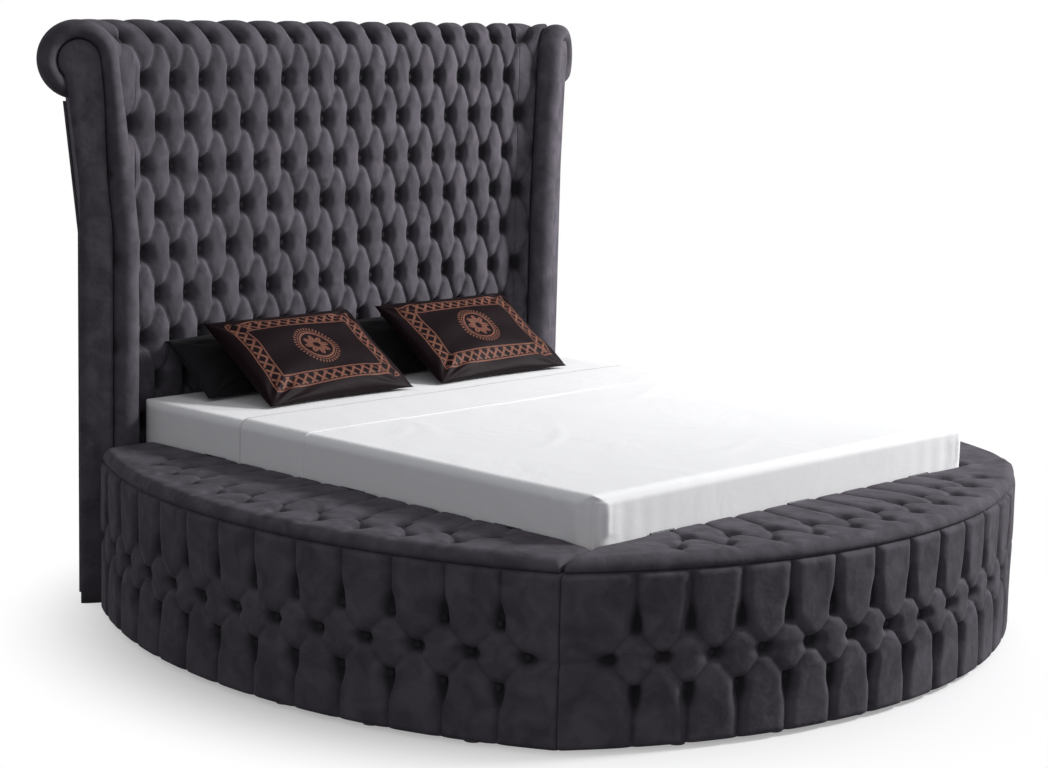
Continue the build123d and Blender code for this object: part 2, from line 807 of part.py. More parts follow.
def pillows():
    front = pillow(front_pillow_width, front_pillow_depth, front_pillow_thick)
    back = pillow(back_pillow_width, back_pillow_depth, back_pillow_thick)
    foot = head_crown_y - front_pillow_from_head
    made = {}
    for name, side in (("left", -1), ("right", 1)):
        x = side * (front_pillow_width + front_pillow_gap) / 2
        made[name + "_front_pillow"] = laid_pillow(front, front_pillow_tilt, x, near_y=foot)
        x = side * (back_pillow_width + back_pillow_gap) / 2
        made[name + "_back_pillow"] = laid_pillow(back, back_pillow_tilt, x, far_y=head_crown_y - seat_gap)
    return made


def build():
    """All nodes of the bed, by name."""
    nodes = {}
    rails, bolts, bores = tie_rails()
    fixed, moving, pin = hinge_pieces()
    fixed_leaves = []
    pins = []
    for name in ("left", "foot"):
        segment = Segment(name)
        made = {
            "bench_wall": [wall_board(segment)],
            "bench_cover": [wall_cover(segment)],
            "bench_buttons": wall_buttons(segment),
            "bench_floor": [bench_floor(segment)],
            "bench_ends": bench_ends(segment).solids(),
            "inner_wall": [inner_board(segment)],
            "lid_board": [lid_plate(segment)],
            "lid_cushion": [lid_cover(segment)],
            "lid_buttons": lid_buttons(segment),
            "lid_hinge_leaves": [place * moving for place in hinge_places(name)],
        }
        if name == "left":
            made["inner_wall"] = [made["inner_wall"][0].cut(*bores)]
        fixed_leaves += [place * fixed for place in hinge_places(name)]
        pins += [place * pin for place in hinge_places(name)]
        for piece, solids in made.items():
            nodes[name + "_" + piece] = solids
            if name == "left":
                nodes["right_" + piece] = [to_right(s) for s in solids]
        if name == "left":
            fixed_leaves += [to_right(place * fixed) for place in hinge_places(name)]
            pins += [to_right(place * pin) for place in hinge_places(name)]
    nodes["fixed_hinge_leaves"] = fixed_leaves
    nodes["hinge_pins"] = pins
    ledges, slats, beam, legs = deck()
    nodes["slat_ledges"] = ledges
    nodes["bed_slats"] = slats
    nodes["middle_beam"] = [beam]
    nodes["beam_legs"] = legs
    nodes["headboard_tie_rails"] = rails
    nodes["tie_bolts"] = bolts
    nodes["floor_glides"] = glides()
    nodes["headboard_core"] = [head_board()]
    nodes["headboard_cushion"] = [head_cushion()]
    nodes["headboard_buttons"] = [button_on(seat, way) for seat, way in head_rows()]
    former = wing_former()
    nodes["roll_formers"] = [head_roll(roll_former), former, to_right(former)]
    nodes["headboard_back_cover"] = [head_back_cover()]
    wing = {
        "wing_core": wing_core(),
        "wing_cushion": wing_cushion(),
        "wing_border_roll": wing_border(),
        "wing_front_panel": wing_panel(),
    }
    for piece, shape in wing.items():
        nodes["left_" + piece] = [shape]
        nodes["right_" + piece] = [to_right(shape)]
    cover = wing_outer_cover()
    nodes["wing_outer_covers"] = [cover, to_right(cover)]
    nodes["mattress"] = [mattress_shape(0)]
    nodes["fitted_sheet"] = [fitted_cover()]
    nodes["folded_top_sheet"] = [folded_sheet()]
    for name, shape in pillows().items():
        nodes[name] = [shape]
    return nodes


os.makedirs("parts", exist_ok=True)
for name, shapes in build().items():
    solids = [solid for shape in shapes for solid in shape.solids()]
    placed = [Pos(0, to_middle, 0) * solid for solid in solids]
    export_step(Compound(children=placed), "parts/" + name + ".step")
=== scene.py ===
"""Looks of the round tufted bed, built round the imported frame. Metres, +Z up, -Y towards the foot."""
import json
import math
from functools import partial, reduce

import bpy
import numpy as np
from mathutils import Matrix, Vector


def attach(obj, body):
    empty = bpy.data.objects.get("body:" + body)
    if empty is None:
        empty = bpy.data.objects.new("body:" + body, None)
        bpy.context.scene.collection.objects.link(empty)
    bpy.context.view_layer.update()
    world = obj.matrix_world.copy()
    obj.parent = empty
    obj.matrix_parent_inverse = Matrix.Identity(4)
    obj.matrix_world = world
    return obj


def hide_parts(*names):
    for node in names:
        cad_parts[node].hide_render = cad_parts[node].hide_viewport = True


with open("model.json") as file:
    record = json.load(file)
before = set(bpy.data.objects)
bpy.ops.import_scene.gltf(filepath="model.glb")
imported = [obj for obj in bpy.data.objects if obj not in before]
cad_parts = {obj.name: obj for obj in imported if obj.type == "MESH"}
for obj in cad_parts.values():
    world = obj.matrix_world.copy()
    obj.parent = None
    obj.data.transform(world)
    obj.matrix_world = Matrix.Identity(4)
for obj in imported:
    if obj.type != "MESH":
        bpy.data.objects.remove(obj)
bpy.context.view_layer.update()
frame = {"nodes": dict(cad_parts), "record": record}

# Sizes of the plan, all in metres; MID moves the plan's middle into the frame
MID = 0.0175
WALL_X, WALL_Y = 0.908, 0.953
RIM_X, RIM_Y = 1.080, 1.001
SIDE_BOW, FOOT_BOW = 0.281, 0.359
SIDE_R = (RIM_Y**2 + SIDE_BOW**2) / (2 * SIDE_BOW)
FOOT_R = (RIM_X**2 + FOOT_BOW**2) / (2 * FOOT_BOW)
REAR = 0.965
PITCH = 0.160
HEAD_PITCH = 0.1183
CROWN_Y, CORNER_X = 1.085, 0.885
ROLL_R, ROLL_Z = 0.125, 1.755
SPLAY = math.radians(30)
BORDER = 0.044
WING_FRONT = 0.137
FLARE, FLARE_Z = 0.064, 1.200
SLIM = 0.031
COVER_OUT, COVER_LOW = 0.010, 0.0125
JOINT = 0.0003
WALL_ROWS = 0.340, 0.256, 0.165
LID_ROWS = 0.096, 0.192
FOOT_TUFTS, SIDE_TUFTS = 13, 12
PILLOW_WIDE, PILLOW_DEEP = 0.630, 0.415

# Mattress: half width, half length, middle of its length, height of its two faces, plan corners and edges
BED_X, BED_Y, BED_MIDDLE = 0.895, 0.995, 0.055
BED_LOW, BED_HIGH = 0.437, 0.663
BED_CORNER, BED_EDGE = 0.060, 0.026


def eased(t):
    """Smooth step from 0 to 1."""
    return t * t * (3 - 2 * t)


def bend_in(t):
    """How far a quarter round lies in, as a share of its radius, at a share t of its reach from the edge."""
    return 1 - np.sqrt(1 - (1 - np.minimum(t, 1)) ** 2)


# ---------------------------------------------------------------- meshes

def volume(p, quads):
    """Signed volume inside the quads; it is negative where they face inwards."""
    a, b, c, d = (p[quads[:, i]] for i in range(4))
    return float((np.cross(a, b) * c).sum() + (np.cross(a, c) * d).sum()) / 6


def mesh(name, p, quads, extra=(), uv=None, smooth=True):
    """Object from an array of points and an array of quads; extra holds many-sided caps."""
    p = np.asarray(p, float).reshape(-1, 3)
    me = bpy.data.meshes.new(name)
    me.from_pydata(p.tolist(), [], np.asarray(quads).tolist() + [list(map(int, f)) for f in extra])
    if uv is not None:
        layer = me.uv_layers.new(name="UVMap")
        index = np.zeros(len(me.loops), np.int32)
        me.loops.foreach_get("vertex_index", index)
        layer.data.foreach_set("uv", np.asarray(uv, np.float32).reshape(-1, 2)[index].ravel())
    me.polygons.foreach_set("use_smooth", [smooth] * len(me.polygons))
    me.update()
    ob = bpy.data.objects.new(name, me)
    bpy.context.collection.objects.link(ob)
    return ob


def loft_faces(stations, count):
    """Quads between neighbouring section loops of count points."""
    i = np.arange(stations - 1)[:, None] * count
    j = np.arange(count)[None, :]
    k = (j + 1) % count
    return np.stack([i + j, i + k, i + count + k, i + count + j], -1).reshape(-1, 4)


def block(loops):
    """Points, quads and flat end caps of a closed solid through section loops (stations, points, 3), faces outwards."""
    stations, count = loops.shape[:2]
    p = loops.reshape(-1, 3)
    quads = loft_faces(stations, count)
    caps = [range(count)[::-1], range((stations - 1) * count, stations * count)]
    if volume(p, quads) < 0:
        quads, caps = quads[:, ::-1], [c[::-1] for c in caps]
    return p, quads, caps


def loft(name, loops, uv=None):
    return mesh(name, *block(loops), uv)


def grid_faces(rows, cols):
    """Quads of a grid of points."""
    first = np.arange(rows - 1)[:, None] * cols + np.arange(cols - 1)
    return np.stack([first, first + 1, first + cols + 1, first + cols], -1).reshape(-1, 4)


def joined(name, blocks, smooth=True):
    """One object from several (points, quads, caps) blocks."""
    points, quads, caps, base = [], [], [], 0
    for p, q, c in blocks:
        p = np.asarray(p, float).reshape(-1, 3)
        points.append(p)
        quads.append(np.asarray(q) + base)
        caps += [[int(v) + base for v in f] for f in c]
        base += len(p)
    return mesh(name, np.concatenate(points), np.concatenate(quads), caps, None, smooth)


def settle(ob, node, slot, body="bed"):
    """Gives a piece the material of its slot and its body, and hides the CAD node it stands for."""
    ob.data.materials.clear()
    ob.data.materials.append(MATERIALS[slot])
    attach(ob, body)
    if node:
        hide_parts(node)
    return ob


# ---------------------------------------------------------------- tufting

def fold_depth(p, lines, reach):
    """Depth of the folds at surface points p (..., 2): the largest of w * ((1 - e/reach)^2.2 + 0.32 exp(-(e/4 mm)^2))
    over the folds (ax, ay, bx, by, w), with e the distance to a fold."""
    deep = np.zeros(p.shape[:-1])
    for ax, ay, bx, by, w in lines:
        lx, ly = bx - ax, by - ay
        t = np.clip(((p[..., 0] - ax) * lx + (p[..., 1] - ay) * ly) / (lx * lx + ly * ly), 0, 1)
        e = np.hypot(p[..., 0] - ax - t * lx, p[..., 1] - ay - t * ly)
        deep = np.maximum(deep, w * ((1 - np.minimum(e / reach, 1)) ** 2.2 + 0.32 * np.exp(-(e / 0.004) ** 2)))
    return deep


def pit_depth(p, spots, pit):
    """Depth of the button hollows: pit * exp(-b^2.6), with b the distance from a spot (x, y, rx, up, down) in its
    own reaches."""
    deep = np.zeros(p.shape[:-1])
    for x, y, rx, up, down in spots:
        rise = p[..., 1] - y
        b = np.hypot((p[..., 0] - x) / rx, rise / np.where(rise > 0, up, down))
        deep = np.maximum(deep, pit * np.exp(-b ** 2.6))
    return deep


def relief(p, lines, spots, reach, pit, deepest):
    """Depth below the crown: folds plus hollows, capped smoothly at deepest."""
    total = fold_depth(p, lines, reach) + pit_depth(p, spots, pit)
    return deepest * (1 - np.exp(-(total / deepest) ** 3)) ** (1 / 3)


def button_block(seat, out, radius=0.012, thick=0.009, rings=5, around=14):
    """Closed low dome whose round rests on seat and whose crown points along out."""
    seat = np.asarray(seat)
    out = np.asarray(out, float) / np.linalg.norm(out)
    side = np.cross(out, (0.31, 0.22, 0.93))
    side /= np.linalg.norm(side)
    up = np.cross(out, side)
    a = np.linspace(0, 2 * np.pi, around, endpoint=False)
    rows = [np.outer(np.cos(a), side) * radius * 0.8 + np.outer(np.sin(a), up) * radius * 0.8 + seat]
    for v in np.linspace(0, np.pi / 2 * 0.93, rings):
        ring = (np.outer(np.cos(a), side) + np.outer(np.sin(a), up)) * radius * math.cos(v)
        rows.append(ring + seat + out * thick * (0.3 + 0.7 * math.sin(v)))
    count = len(rows)
    caps = [range(around), range((count - 1) * around, count * around)[::-1]]
    return np.concatenate(rows), loft_faces(count, around)[:, ::-1], caps


# ---------------------------------------------------------------- plan of the benches

class Bench:
    """One bench: an arc about centre, out points away from the mattress, along runs to its second end."""

    def __init__(self, name):
        self.name = name
        mitre = np.array([RIM_X - WALL_X, WALL_Y - RIM_Y])
        mitre /= np.linalg.norm(mitre)
        if name == "foot":
            self.radius, self.tufts, self.half, self.inner = FOOT_R, FOOT_TUFTS, RIM_X, WALL_Y
            self.centre = np.array([0, FOOT_R - RIM_Y - FOOT_BOW])
            self.out, self.along = np.array([0.0, -1.0]), np.array([1.0, 0.0])
            self.ends = [((-WALL_X, -WALL_Y), mitre * (-1, 1)), ((WALL_X, -WALL_Y), mitre)]
        else:
            sx = {"left": -1, "right": 1}[name]
            self.radius, self.tufts, self.half, self.inner = SIDE_R, SIDE_TUFTS, RIM_Y, WALL_X
            self.centre = np.array([sx * (RIM_X + SIDE_BOW - SIDE_R), 0])
            self.out, self.along = np.array([float(sx), 0.0]), np.array([0.0, 1.0])
            self.ends = [((sx * WALL_X, -WALL_Y), mitre * (sx, 1)), ((sx * WALL_X, REAR), self.out)]

    def end_line(self, end, inset):
        """Point and direction of an end of the bench, moved inwards by inset."""
        point, way = self.ends[end]
        normal = np.array([-way[1], way[0]])
        middle = self.centre + self.out * self.radius * 0.8
        if (middle - point) @ normal < 0:
            normal = -normal
        return np.array(point) + normal * inset, way

    def end_angle(self, radius, end, inset):
        """Angle from out to where a circle of this radius meets the end line."""
        point, way = self.end_line(end, inset)
        q = point - self.centre
        b = q @ way
        t = -b + np.sqrt(b * b - (q @ q - np.asarray(radius) ** 2))
        hit = q + np.asarray(t)[..., None] * way
        return np.arctan2(hit @ self.along, hit @ self.out)

    def angle(self, radius, share, inset):
        a, b = self.end_angle(radius, 0, inset), self.end_angle(radius, 1, inset)
        return a + (b - a) * share

    def at(self, radius, angle):
        """Plan point, moved into the frame."""
        r = np.asarray(radius)[..., None]
        a = np.asarray(angle)[..., None]
        return self.centre + r * (np.cos(a) * self.out + np.sin(a) * self.along) + (0, MID)

    def way(self, angle):
        return math.cos(angle) * self.out + math.sin(angle) * self.along

    def marks(self, extra=0):
        """Places of a row of tufts along the arc."""
        count = self.tufts + extra
        return [PITCH * (i - (count - 1) / 2) for i in range(count)]


def shares(count, length, near=0.016, steps=5):
    """Shares from 0 to 1, closer together at both ends where the cover turns in."""
    ends = np.sin(np.linspace(0, np.pi / 2, steps, endpoint=False)) ** 2 * near / length
    inner = np.linspace(near / length, 1 - near / length, count)
    return np.concatenate([ends, inner, 1 - ends[::-1]])


def hollows(deep, loops, full=0.036):
    """UV of a tufted cover: across is even, up is how far into a hollow a point lies, from 0 to 1, which the velvet
    uses to paint shade in the hollows.
    """
    uv = np.zeros(loops.shape[:2] + (2,))
    uv[..., 0] = 0.5
    uv[:, :deep.shape[1], 1] = np.clip(deep / full, 0, 1)
    return uv


def bench_cover(bench):
    """Wall cover: crown radius minus relief(u, z) minus the round of its top, bottom and upright end edges."""
    crown = bench.radius + COVER_OUT
    z0, z1, soft = COVER_LOW, 0.4975, 0.018
    deepest, back_in = 0.037, 0.0456
    turn = np.linspace(0, np.pi / 2, 6)
    body = np.linspace(z0 + soft, z1 - soft, 100)[1:-1]
    z = np.concatenate([z0 + soft * (1 - np.cos(turn)), body, z1 - soft * (1 - np.cos(turn[::-1]))])
    inward = np.concatenate([soft * (1 - np.sin(turn)), 0 * body, soft * (1 - np.sin(turn[::-1]))])
    length = 2 * bench.radius * math.asin(bench.half / bench.radius)
    s = shares(470, length)
    u = bench.angle(crown, s, JOINT)[:, None] * bench.radius + 0 * z
    zz = z + 0 * u
    high, middle, low = WALL_ROWS
    centres = bench.marks(1)
    lines, spots = [], []
    for x in bench.marks():
        lines += [(x, high, x, 0.52, 0.017), (x, low, x, -0.02, 0.017)]
        for side in (-PITCH / 2, PITCH / 2):
            lines += [(x, high, x + side, middle, 0.009), (x, low, x + side, middle, 0.009)]
        spots += [(x, high, 0.019, 0.048, 0.021), (x, low, 0.021, 0.022, 0.048)]
    spots += [(x, middle, 0.033, 0.019, 0.019) for x in centres]
    for x, far in ((centres[0], float(u.min()) - 0.02), (centres[-1], float(u.max()) + 0.02)):
        lines.append((x, middle, far, middle - 0.004, 0.0035))
    deep = relief(np.stack([u, zz], -1), lines, spots, 0.034, deepest, deepest)
    sag = 0.0016 * np.sin(u * 9.1 + zz * 7) * np.sin(zz * 13 + u * 3.3)
    side_round = 0.012 * bend_in(np.minimum(s, 1 - s) * length / 0.014)
    fade = np.clip(1 - inward / soft, 0.35, 1)
    radius = crown - (deep + sag) * fade - inward - side_round[:, None] * 0.9
    radius = np.maximum(radius, bench.radius - back_in + 0.0011)
    front = np.concatenate([bench.at(radius, bench.angle(radius, s[:, None], JOINT)), zz[..., None]], -1)
    back_r = np.full(len(s), bench.radius - back_in)
    back = bench.at(back_r, bench.angle(back_r, s, JOINT))
    rear = [np.concatenate([back, np.full((len(s), 1), height)], -1)[:, None] for height in (z1, z0)]
    loops = np.concatenate([front, *rear], 1)
    return loft(bench.name + "_bench_cover_look", loops, hollows(deep * fade, loops))


def bench_button_blocks(bench):
    """Buttons of a wall's three rows."""
    seat_r = bench.radius + COVER_OUT - 0.034
    blocks = []
    for marks, z in zip((bench.marks(), bench.marks(1), bench.marks()), WALL_ROWS):
        for a in (m / bench.radius for m in marks):
            blocks.append(button_block((*bench.at(seat_r, a), z), (*bench.way(a), 0)))
    return blocks


def lid_marks(bench):
    """Buttons of a lid as (u, distance in from the rim), only where the lid is wide enough."""
    rows = []
    for extra, deep in zip((-2, -1), LID_ROWS):
        rows.append([])
        for m in bench.marks(extra):
            xy = bench.centre + (bench.radius - deep) * bench.way(m / bench.radius)
            if xy @ bench.out - bench.inner > 0.062:
                rows[-1].append((m, deep))
    return rows


def lid_cover(bench):
    """Lid cushion: flat top minus relief, quarter rounds at rim and inner edge, open below where the board sits."""
    rim, inner = bench.radius + 0.004, bench.inner + 0.005
    # clearance at the ends; heights of the top, the rim's low edge and the board; rounds of the rim and inner edge
    gap = 0.0062
    top, low, hollow = 0.5415, 0.4988, 0.5125
    soft, small = 0.034, 0.014
    length, fold, step_in = 2.0, 0.007, 0.0137
    s = shares(440, length, 0.014)
    # two stations at each end make the margin round the board
    s = np.sort(np.concatenate([s, [0.0069, 0.0071, 1 - 0.0071, 1 - 0.0069]]))
    all_rim = np.full(len(s), rim)
    outer = bench.at(all_rim, bench.angle(all_rim, s, gap)) - (0, MID)
    ends = []
    for end in (0, 1):
        point, way = bench.end_line(end, gap)
        k = (inner - point @ bench.out) / (way @ bench.out)
        ends.append(point + way * k)
    inside = ends[0] + (ends[1] - ends[0]) * s[:, None]
    width = np.linalg.norm(outer - inside, axis=1)
    turn = np.linspace(0, np.pi / 2, 7)
    # distance from the inner edge, height and the way the surface faces, per section point
    cols = 72
    mid = np.linspace(0, 1, cols + 2)[1:-1]
    reach_in = np.concatenate([[0], small * (1 - np.cos(turn))])
    z_in = np.concatenate([[hollow], top - small + small * np.sin(turn)])
    reach_out = soft * (1 - np.cos(turn[::-1]))
    z_out = top - soft + soft * np.sin(turn[::-1])
    span = width[:, None] - small - soft
    dist = np.concatenate([reach_in + 0 * width[:, None], small + mid * span, width[:, None] - reach_out], 1)
    z = np.concatenate([z_in, np.full(cols, top), z_out])
    face_up = np.concatenate([[0], np.sin(turn), np.ones(cols), np.sin(turn[::-1])])
    face_out = np.concatenate([[-1], -np.cos(turn), np.zeros(cols), np.cos(turn[::-1])])
    way = (outer - inside) / width[:, None]
    xy = inside[:, None] + way[:, None] * dist[..., None]
    # u along the arc, v in from the rim
    rel = xy - bench.centre
    u = np.arctan2(rel @ bench.along, rel @ bench.out) * bench.radius
    v = bench.radius - np.linalg.norm(rel, axis=-1)
    outer_row, inner_row = lid_marks(bench)
    lines = [(m, d, m, 0.030, 0.0045) for m, d in outer_row] + [(m, d, m, 0.5, fold) for m, d in inner_row]
    taken = {round(m, 4) for m, _ in outer_row}
    for m, d in inner_row:
        for side in (-PITCH / 2, PITCH / 2):
            if round(m + side, 4) in taken:
                lines.append((m, d, m + side, LID_ROWS[0], fold))
    spots = [(m, d, 0.026, 0.024, 0.026) for m, d in outer_row + inner_row]
    deep = relief(np.stack([u, v], -1), lines, spots, 0.040, 0.018, 0.0190)
    edge = np.minimum(s, 1 - s) * length
    droop = 0.016 * bend_in(edge / 0.022)
    deep = deep * np.where(face_up > 0, np.clip(0.35 + 0.65 * face_up, 0, 1), 0)
    height = z - deep * face_up - droop[:, None] * face_up
    # the foot corners sink a little, so that the lids pass each other when they are open
    for end in ((0, 1) if bench.name == "foot" else (0,)):
        point, line = bench.end_line(end, gap)
        t = np.clip((np.abs((xy - point) @ np.array([-line[1], line[0]])) - 0.035) / 0.07, 0, 1)
        height = height - 0.0055 * (1 - eased(t)) * face_up
    xy = xy - way[:, None] * (deep * face_out * 0.6 * (face_out > 0))[..., None]
    z_under = np.where(edge < step_in + 0.0001, low, hollow)
    top_part = np.concatenate([xy, height[..., None]], -1)
    top_part[:, 0, 2] = z_under
    # under side: the rim, the margin round the board and the step up to it
    low_rim, flat = outer - way * 0.002, np.full(len(s), low)
    under = [np.concatenate([points, heights[:, None]], -1)[:, None] for points, heights in (
        (low_rim, flat + 0.006), (low_rim - way * 0.004, flat), (outer - way * step_in, flat),
        (outer - way * (step_in + 0.0002), z_under))]
    loops = np.concatenate([top_part, *under], 1)
    loops[..., 1] += MID
    return loft(bench.name + "_lid_cushion_look", loops, hollows(deep, loops, 0.022))


def lid_button_blocks(bench):
    return [button_block((*bench.at(bench.radius - deep, m / bench.radius), 0.5222), (0, 0, 1), 0.0115, 0.0075)
            for row in lid_marks(bench) for m, deep in row]


# ---------------------------------------------------------------- headboard

HEAD_ROWS = [1.848, 1.688, 1.548, 1.408, 1.268, 1.128, 0.988, 0.848, 0.708, 0.568]
# Lowest line, thickness of the two cushions, depth of the button seats, and the back of the roll's cover
HEAD_LOW, HEAD_THICK, WING_THICK, HEAD_SEAT = 0.430, 0.0647, 0.0453, 0.039
ROLL_BACK, ROLL_LOW, ROLL_SEAM = 0.1033, 1.632, 1.6930


def head_pattern():
    """Folds and buttons on the unrolled face: u across, v up; above the roll's middle v runs along the crown."""
    lines, spots = [], []
    for row, v in enumerate(HEAD_ROWS):
        marks = [k * HEAD_PITCH for k in range(-8, 9)] if row % 2 else [(k + 0.5) * HEAD_PITCH for k in range(-9, 9)]
        for x in marks:
            spots.append((x, v, 0.023, 0.034, 0.030))
            if row == 0:
                lines.append((x, v, x, v + 0.5, 0.025))
            if row + 1 < len(HEAD_ROWS):
                for side in (-0.5, 0.5):
                    lines.append((x, v, x + side * HEAD_PITCH, HEAD_ROWS[row + 1], 0.012))
            else:
                lines.append((x, v, x, v - 0.4, 0.014))
    return lines, spots


HEAD_LINES, HEAD_SPOTS = head_pattern()


def head_depth(u, v):
    """Depth of the tufting at places on the unrolled face, with a slight unevenness."""
    lines, spots = ([entry for entry in entries if u.min() - 0.1 < entry[0] < u.max() + 0.1]
                    for entries in (HEAD_LINES, HEAD_SPOTS))
    deep = relief(np.stack([u, v], -1), lines, spots, 0.048, 0.037, 0.041)
    return deep + 0.0012 * np.sin(u * 23 + v * 11) * np.sin(v * 17 - u * 7)


def head_profile():
    """Section of face and roll: v, base (y - CROWN_Y, z) and the inward normal, from the bottom to the roll's back."""
    z = np.linspace(HEAD_LOW, ROLL_Z, 212, endpoint=False)
    a = np.linspace(math.pi, math.radians(-98), 78)
    roll = np.stack([ROLL_R + ROLL_R * np.cos(a), ROLL_Z + ROLL_R * np.sin(a)], -1)
    v = np.concatenate([z, ROLL_Z + ROLL_R * (math.pi - a)])
    base = np.concatenate([np.stack([0 * z, z], -1), roll])
    normal = np.concatenate([np.stack([0 * z + 1, 0 * z], -1), np.stack([-np.cos(a), -np.sin(a)], -1)])
    return v, base, normal


def roll_fade(v):
    """The folds run out on the hidden back of the roll."""
    return np.clip(1 - (v - ROLL_Z - ROLL_R * 2.6) / 0.12, 0, 1)


def headboard():
    """Face and roll in one cover: base profile moved inwards by head_depth, wide as the wing mitres allow."""
    v, base, normal = head_profile()
    s = np.linspace(-1, 1, 333)
    u = s[:, None] * CORNER_X + 0 * v
    vv = v + 0 * u
    deep = head_depth(u, vv) * roll_fade(vv)
    yz = base[None] + normal[None] * deep[..., None]
    x = s[:, None] * (CORNER_X + yz[..., 0] * math.tan(SPLAY) - 0.0002)
    parts = [np.stack([x, yz[..., 0] + CROWN_Y, yz[..., 1]], -1)]
    for dy, z in ((ROLL_BACK, ROLL_LOW), (ROLL_BACK, ROLL_SEAM), (HEAD_THICK, ROLL_SEAM), (HEAD_THICK, HEAD_LOW)):
        half = CORNER_X + dy * math.tan(SPLAY) - 0.0002
        parts.append(np.stack([s * half, 0 * s + CROWN_Y + dy, 0 * s + z], -1)[:, None])
    loops = np.concatenate(parts, 1)
    loops[..., 1] += MID
    return loft("headboard_cushion_look", loops, hollows(deep, loops))


def head_button_blocks():
    """Buttons of the headboard's face and roll, without those on the wings."""
    blocks = []
    for x, v in (spot[:2] for spot in HEAD_SPOTS if abs(spot[0]) <= 0.86):
        if v > ROLL_Z:
            a = math.pi - (v - ROLL_Z) / ROLL_R
            r = ROLL_R - HEAD_SEAT
            seat = (x, CROWN_Y + ROLL_R + r * math.cos(a) + MID, ROLL_Z + r * math.sin(a))
            out = (0, math.cos(a), math.sin(a))
        else:
            seat, out = (x, CROWN_Y + HEAD_SEAT + MID, v), (0, -1, 0)
        blocks.append(button_block(seat, out, 0.0115, 0.0085, 4, 12))
    return blocks


# ---------------------------------------------------------------- wings

def wing_xy(sx, along, out):
    """Plan point of a wing from its crown corner: along runs to the front, out away from the bed."""
    x = CORNER_X + along * math.sin(SPLAY) + out * math.cos(SPLAY)
    y = CROWN_Y - along * math.cos(SPLAY) + out * math.sin(SPLAY)
    return np.stack([sx * x, y + MID], -1)


SCROLL_X = FLARE + ROLL_R
SWEEP = ROLL_R - BORDER


def touch():
    """Where the leaning part of the border roll's crest meets the round of the scroll."""
    reach = math.hypot(SCROLL_X - BORDER, ROLL_Z - FLARE_Z)
    heading = math.atan2(ROLL_Z - FLARE_Z, SCROLL_X - BORDER) + math.asin(SWEEP / reach)
    run = math.sqrt(reach**2 - SWEEP**2)
    return BORDER + run * math.cos(heading), FLARE_Z + run * math.sin(heading)


TOUCH = touch()


def lean(z):
    """Outward lean of a wing at a height: nothing below the flare, straight above it."""
    z = np.asarray(z, float)
    t = np.clip(z - FLARE_Z, 0, None)
    slope = (TOUCH[0] - BORDER) / (TOUCH[1] - FLARE_Z)
    return slope * (np.sqrt(t**2 + 0.03**2) - 0.03)


def wing_cushion(name, sx):
    """Wing face and scroll: the headboard's profile, pushed outwards by the flare towards the front edge."""
    v, base, normal = head_profile()
    front = WING_FRONT - 2 * BORDER - 0.0005
    s = np.linspace(0, 1, 26)
    flare = np.minimum(np.where(v < ROLL_Z, lean(base[:, 1]), FLARE), FLARE)
    back = -math.tan(SPLAY) * base[:, 0]
    u = CORNER_X + (back[None] + (front - back[None]) * s[:, None])
    vv = v + 0 * u
    deep = head_depth(np.clip(u, None, 0.99), vv) * roll_fade(vv)
    deep = deep * (1 - 0.75 * np.clip((vv - 1.70) / 0.1, 0, 1) * s[:, None])
    out = base[None, :, 0] + flare[None] * s[:, None] + normal[None, :, 0] * deep
    z = base[None, :, 1] + normal[None, :, 1] * deep
    back = -math.tan(SPLAY) * (base[None, :, 0] + normal[None, :, 0] * deep) + 0.0002
    along = back + (front - back) * s[:, None]
    parts = [np.concatenate([wing_xy(sx, along, out), z[..., None]], -1)]
    outer, inner = 0.170 + float(lean(1.61)), WING_THICK + float(lean(1.61))
    for o, z in ((0.150, 1.6290), (outer, 1.6290), (outer, 1.6106), (inner, 1.6106),
                 (WING_THICK, FLARE_Z), (WING_THICK, HEAD_LOW)):
        b = max(-math.tan(SPLAY) * o + 0.0002, (0.5 * o - 0.103) / math.cos(SPLAY) + 0.0004)
        edge = wing_xy(sx, b + (front - b) * s, np.full(len(s), o))
        parts.append(np.concatenate([edge, np.full((len(s), 1), z)], -1)[:, None])
    loops = np.concatenate(parts, 1)
    return loft(name + "_wing_cushion_look", loops, hollows(deep, loops))


def border_path():
    """Line of the border roll's inner crest in the wing's upright plane: straight up, leaning out, then round the
    scroll. With it go the way across the roll, its radius, which grows slimmer on the scroll, and the run."""
    post = [(BORDER, z) for z in np.linspace(COVER_LOW, FLARE_Z - 0.12, 46)]
    bend = [(BORDER + float(lean(z)), z) for z in np.linspace(FLARE_Z - 0.10, TOUCH[1], 34)]
    a0 = math.atan2(TOUCH[1] - ROLL_Z, TOUCH[0] - SCROLL_X)
    arc = [(SCROLL_X + SWEEP * math.cos(a), ROLL_Z + SWEEP * math.sin(a))
           for a in np.linspace(a0, math.radians(-90), 64)[1:]]
    shift = TOUCH[0] - bend[-1][0]
    bend = [(x + shift * ((z - bend[0][1]) / (bend[-1][1] - bend[0][1])) ** 2, z) for x, z in bend]
    path = np.array(post + bend + arc)
    tangent = np.gradient(path, axis=0)
    tangent /= np.linalg.norm(tangent, axis=1)[:, None]
    side = np.stack([tangent[:, 1], -tangent[:, 0]], -1)
    step = np.concatenate([[0], np.cumsum(np.linalg.norm(np.diff(path, axis=0), axis=1))])
    turn = np.clip((step - 1.30) / 0.42, 0, 1)
    radius = BORDER - (BORDER - SLIM) * eased(turn)
    return path - side * BORDER, side, radius, step


